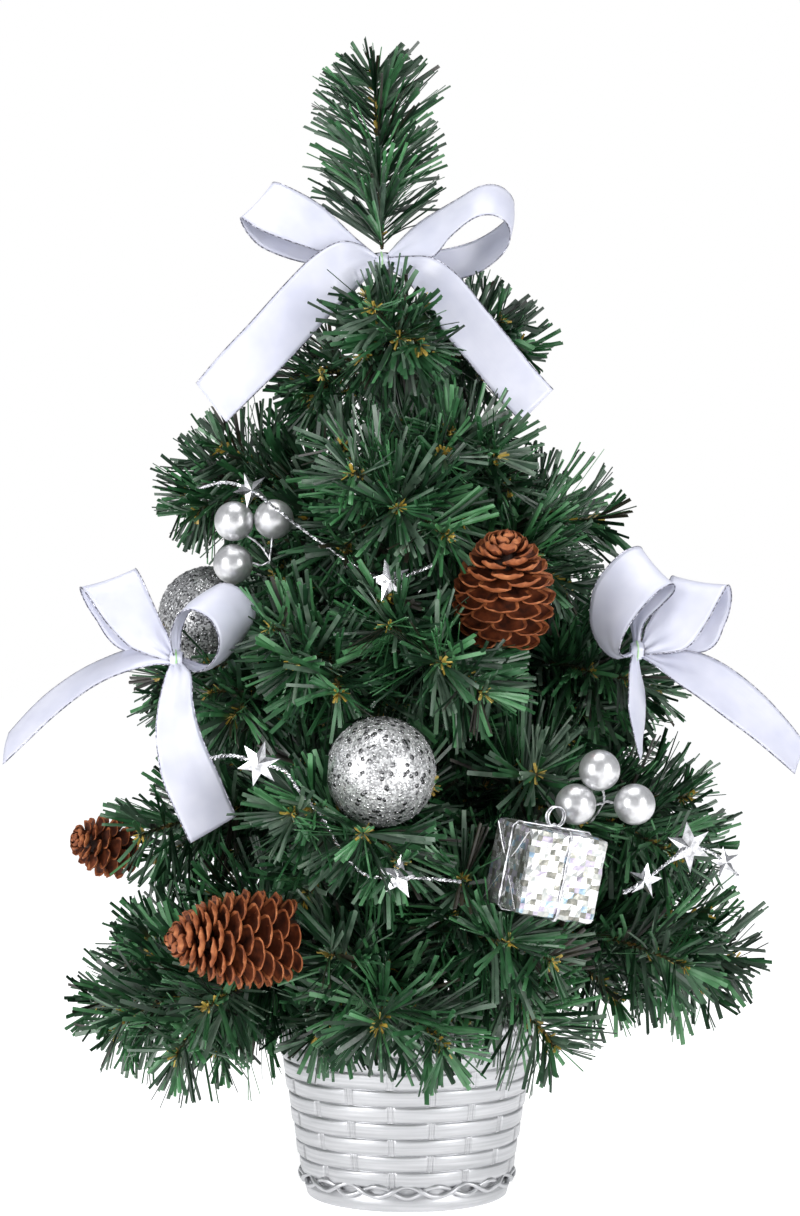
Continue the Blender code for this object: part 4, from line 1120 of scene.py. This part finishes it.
def lay_needles(shape, line, rng, first, blockers, density=1.0):
    """Needles in little fans round a twisted wire, leaning towards its tip and opening at it."""
    tangents, rights, ups = frame_along(line)
    along = arc_lengths(line)
    total = along[-1]
    fans = int((total - first) / MM * NEEDLES_PER_MM * density / FAN_NEEDLES)
    kinds = len(NEEDLE_SHARES)
    needles = []
    turn = rng.random() * 6.28
    for fan in range(fans):
        place = first + (total - first) * (fan + rng.random()) / fans
        turn += FAN_TURN + rng.normal(0, 0.3)
        to_tip = total - place
        open_up = math.exp(-to_tip / (10 * MM))
        lean = math.radians(NEEDLE_ANGLE - (NEEDLE_ANGLE - NEEDLE_ANGLE_AT_TIP) * open_up * rng.random())
        lean += rng.normal(0, 0.09)
        main_slot = rng.choice(kinds, p=NEEDLE_SHARES)
        fan_length = NEEDLE_LENGTH * (0.88 + 0.2 * rng.random())
        fan_length *= TIP_SHARE + (1 - TIP_SHARE) * min(1, to_tip / TIP_TAPER)
        twist = rng.random() * math.pi
        for k in range(FAN_NEEDLES):
            here = min(max(place + (k - 1.5) * FAN_PITCH, first), total - 0.05 * MM)
            i = min(int(np.searchsorted(along, here)), len(line) - 1)
            angle = turn + (k - 1.5) * FAN_SPREAD + rng.normal(0, 0.07)
            tilt = lean + rng.normal(0, 0.08)
            if rng.random() < STRAY_CHANCE:
                tilt += rng.normal(0, 0.5)
                angle += rng.normal(0, 0.6)
            radial = rights[i] * math.cos(angle) + ups[i] * math.sin(angle)
            direction = tangents[i] * math.cos(tilt) + radial * math.sin(tilt)
            outward = radial * math.cos(tilt) - tangents[i] * math.sin(tilt)
            length = fan_length * (0.9 + 0.14 * rng.random())
            width = NEEDLE_WIDTH * (0.72 + 0.5 * rng.random())
            bend = outward * rng.normal(0.03, 0.08) + rng.normal(0, 0.03, 3)
            flat = twist + rng.normal(0, 0.35)
            up = outward * math.cos(flat) + np.cross(direction, outward) * math.sin(flat)
            slot = main_slot if rng.random() < 0.7 else rng.choice(kinds, p=NEEDLE_SHARES)
            needles.append((line[i] + radial * 0.5 * MM, direction, up, length, width, bend, slot))
    kept = []
    for base, direction, up, length, *rest in needles:
        length, stays = trimmed(base, direction, length, blockers, rng)
        if stays:
            kept.append((base, direction, up, length, *rest))
    if kept:
        shape.add(*needle_block(*map(np.array, zip(*kept))))


def trimmed(base, direction, length, blockers, rng):
    """A needle's length once it stops short of an ornament, and whether it stays at all."""
    ornaments, everything = blockers
    back = Vector((0, 1, 0))
    for share, stays in COVER_CHANCES:
        point = Vector(base + direction * length * share)
        if ornaments.ray_cast(point, back, COVER_DEPTH)[0] is not None and rng.random() > stays:
            return length, False
    hit, _, _, distance = everything.ray_cast(Vector(base), Vector(direction), length * 1.15)
    if hit is None:
        return length, True
    return distance - NEEDLE_GAP, distance > SHORTEST_NEEDLE


def add_core(shape, line, rng):
    """The two twisted wires of a brush and the flecks of cut film caught between them."""
    path = catmull(line[::2], 3)
    along, rights, ups = add_twist(shape, path, CORE_PITCH, CORE_WIRE_RADIUS * 0.8, CORE_WIRE_RADIUS,
                                   len(NEEDLE_PAINTS))
    total = along[-1]
    flecks = []
    for k in range(int(total / FLECK_PITCH) + TIP_FLECKS):
        place = total - abs(rng.normal(0, 2.5 * MM)) if k < TIP_FLECKS else rng.random() * total
        i = min(int(np.searchsorted(along, max(place, 0))), len(path) - 1)
        angle = rng.random() * 6.28
        radial = rights[i] * math.cos(angle) + ups[i] * math.sin(angle)
        tangent = unit(path[min(i + 1, len(path) - 1)] - path[max(i - 1, 0)])
        tilt = rng.uniform(0.3, 1.2)
        direction = tangent * math.cos(tilt) + radial * math.sin(tilt)
        flecks.append((path[i] + radial * 0.4 * MM, direction, np.cross(direction, rng.normal(0, 1, 3))))
    n = len(flecks)
    shape.add(*needle_block(*map(np.array, zip(*flecks)), rng.uniform(2.0, 4.6, n) * MM,
                            rng.uniform(0.7, 1.3, n) * MM, np.zeros((n, 3)),
                            rng.choice([GOLD, GOLD, GREY, BRIGHT], n)))


def make_branch(node, rng, blockers, first=BARE_ROOT, density=1.0):
    shape = Shape()
    for number, line in enumerate(branch_lines[node] + fill_lines(node, rng)):
        lay_needles(shape, line, rng, BARE_SPRIG_ROOT if number else first, blockers, density)
        add_core(shape, line, rng)
    stand_in(shape.object(f"{node}_needles", [*NEEDLE_PAINTS, WIRE], smooth=False), node)


def blocking_tree(objects):
    """One ray-casting tree of several objects, for needles to be tested against."""
    verts, faces, start = [], [], 0
    for obj in objects:
        verts += [tuple(v.co) for v in obj.data.vertices]
        faces += [tuple(i + start for i in p.vertices) for p in obj.data.polygons]
        start += len(obj.data.vertices)
    return BVHTree.FromPolygons(verts, faces)


# Camera, light and floor: the camera stands level, where the photograph's perspective puts it

CAMERA_PLACE = (-2.7 * MM, -1.10, 0.227)
CAMERA_LENS = 83.7
FILL_LIGHT = 0.36
FLOOR_GLOW = 0.74
FLOOR_RADIUS = 6


def make_camera():
    data = bpy.data.cameras.new("camera")
    camera = bpy.data.objects.new("camera", data)
    scene.collection.objects.link(camera)
    data.sensor_width = 36
    data.lens = CAMERA_LENS
    camera.location = CAMERA_PLACE
    camera.rotation_euler = (math.radians(90), 0, 0)
    scene.camera = camera


def softbox(name, place, target, size, power):
    data = bpy.data.lights.new(name, "AREA")
    data.shape = "RECTANGLE"
    data.size, data.size_y = size
    data.energy = power
    light = bpy.data.objects.new(name, data)
    scene.collection.objects.link(light)
    light.location = place
    light.rotation_euler = (Vector(target) - Vector(place)).to_track_quat("-Z", "Y").to_euler()


def make_studio():
    """A white surround seen only by the camera, three softboxes and a pale floor."""
    world = bpy.data.worlds.new("white_studio")
    scene.world = world
    world.use_nodes = True
    nodes, links = world.node_tree.nodes, world.node_tree.links
    background = nodes["Background"]
    background.inputs["Color"].default_value = (0.94, 0.97, 1.0, 1)
    background.inputs["Strength"].default_value = FILL_LIGHT
    seen = nodes.new("ShaderNodeBackground")
    seen.inputs["Color"].default_value = (1, 1, 1, 1)
    rays = nodes.new("ShaderNodeLightPath")
    mix = nodes.new("ShaderNodeMixShader")
    links.new(rays.outputs["Is Camera Ray"], mix.inputs["Fac"])
    links.new(background.outputs["Background"], mix.inputs[1])
    links.new(seen.outputs["Background"], mix.inputs[2])
    links.new(mix.outputs["Shader"], nodes["World Output"].inputs["Surface"])
    softbox("left_softbox", (-0.95, -0.95, 0.42), (0, 0, 0.22), (0.5, 0.8), 11)
    softbox("right_softbox", (0.95, -0.95, 0.42), (0, 0, 0.22), (0.5, 0.8), 9)
    softbox("top_softbox", (0, -0.2, 1.4), (0, 0, 0.2), (0.9, 0.9), 8)
    mat = paint("white_floor", (3, 2), [(0.3, (0.82, 0.82, 0.82, 1)), (0.7, (0.84, 0.84, 0.84, 1))],
                Roughness=0.9, Emission_Color=(1, 1, 1, 1), Emission_Strength=FLOOR_GLOW)
    turns = [2 * math.pi * k / 64 for k in range(64)]
    verts = [(FLOOR_RADIUS * math.cos(t), FLOOR_RADIUS * math.sin(t), -0.2 * MM) for t in turns]
    build("floor", verts, [tuple(range(64))], [mat])
    scene.view_settings.view_transform = "Standard"


# The tree

make_camera()
make_studio()
rng = np.random.default_rng(SEED)
branch_lines, branch_tips = {}, {}
for joint in frame["joints"]:
    name = joint["child"]
    node = "top_tip" if name == "top_tip" else name + "_branch"
    lines = lines_of(node, np.array(joint["pos_m"]))
    branch_tips[node] = lines[0][-1]
    less = TOP_OVERHANG if node == "top_tip" else NEEDLE_OVERHANG
    branch_lines[node] = [shortened(line, less) for line in lines]
branch_lines["top_tip"] = branch_lines["top_tip"][:1]

pot = make_pot()
paint_cad("pot_filler", CEMENT)
for node in frame["nodes"]:
    if node == "trunk" or node.endswith("_binding"):
        paint_cad(node, TAPE)

ornaments = [
    make_ball("front_ball", GLITTER_LIGHT, 1500, rng),
    make_ball("left_ball", GLITTER_DARK, 1100, rng),
    make_cone("upper_right_cone", 66, 1.0, rng),
    make_cone("lower_left_cone", 84, 1.5, rng),
    make_cone("small_left_cone", 40, 1.0, rng),
    make_bow("top_bow", TOP_BOW),
    make_bow("left_bow", LEFT_BOW),
    make_bow("right_bow", RIGHT_BOW),
    make_gift(rng),
]
for pick in ("upper", "lower"):
    for number in (1, 2, 3):
        ornaments.append(make_berry(f"{pick}_berry_{number}"))
    make_stems(pick)
for node in STRAND_ROUTES:
    make_strand(node, rng)
for node in ("top_bow_tie", "left_bow_tie", "right_bow_tie"):
    make_tie(node)

blockers = (blocking_tree(ornaments), blocking_tree([*ornaments, pot]))
for node in branch_lines:
    if node == "top_tip":
        make_branch(node, rng, blockers, first=1 * MM, density=TOP_DENSITY)
    else:
        make_branch(node, rng, blockers)
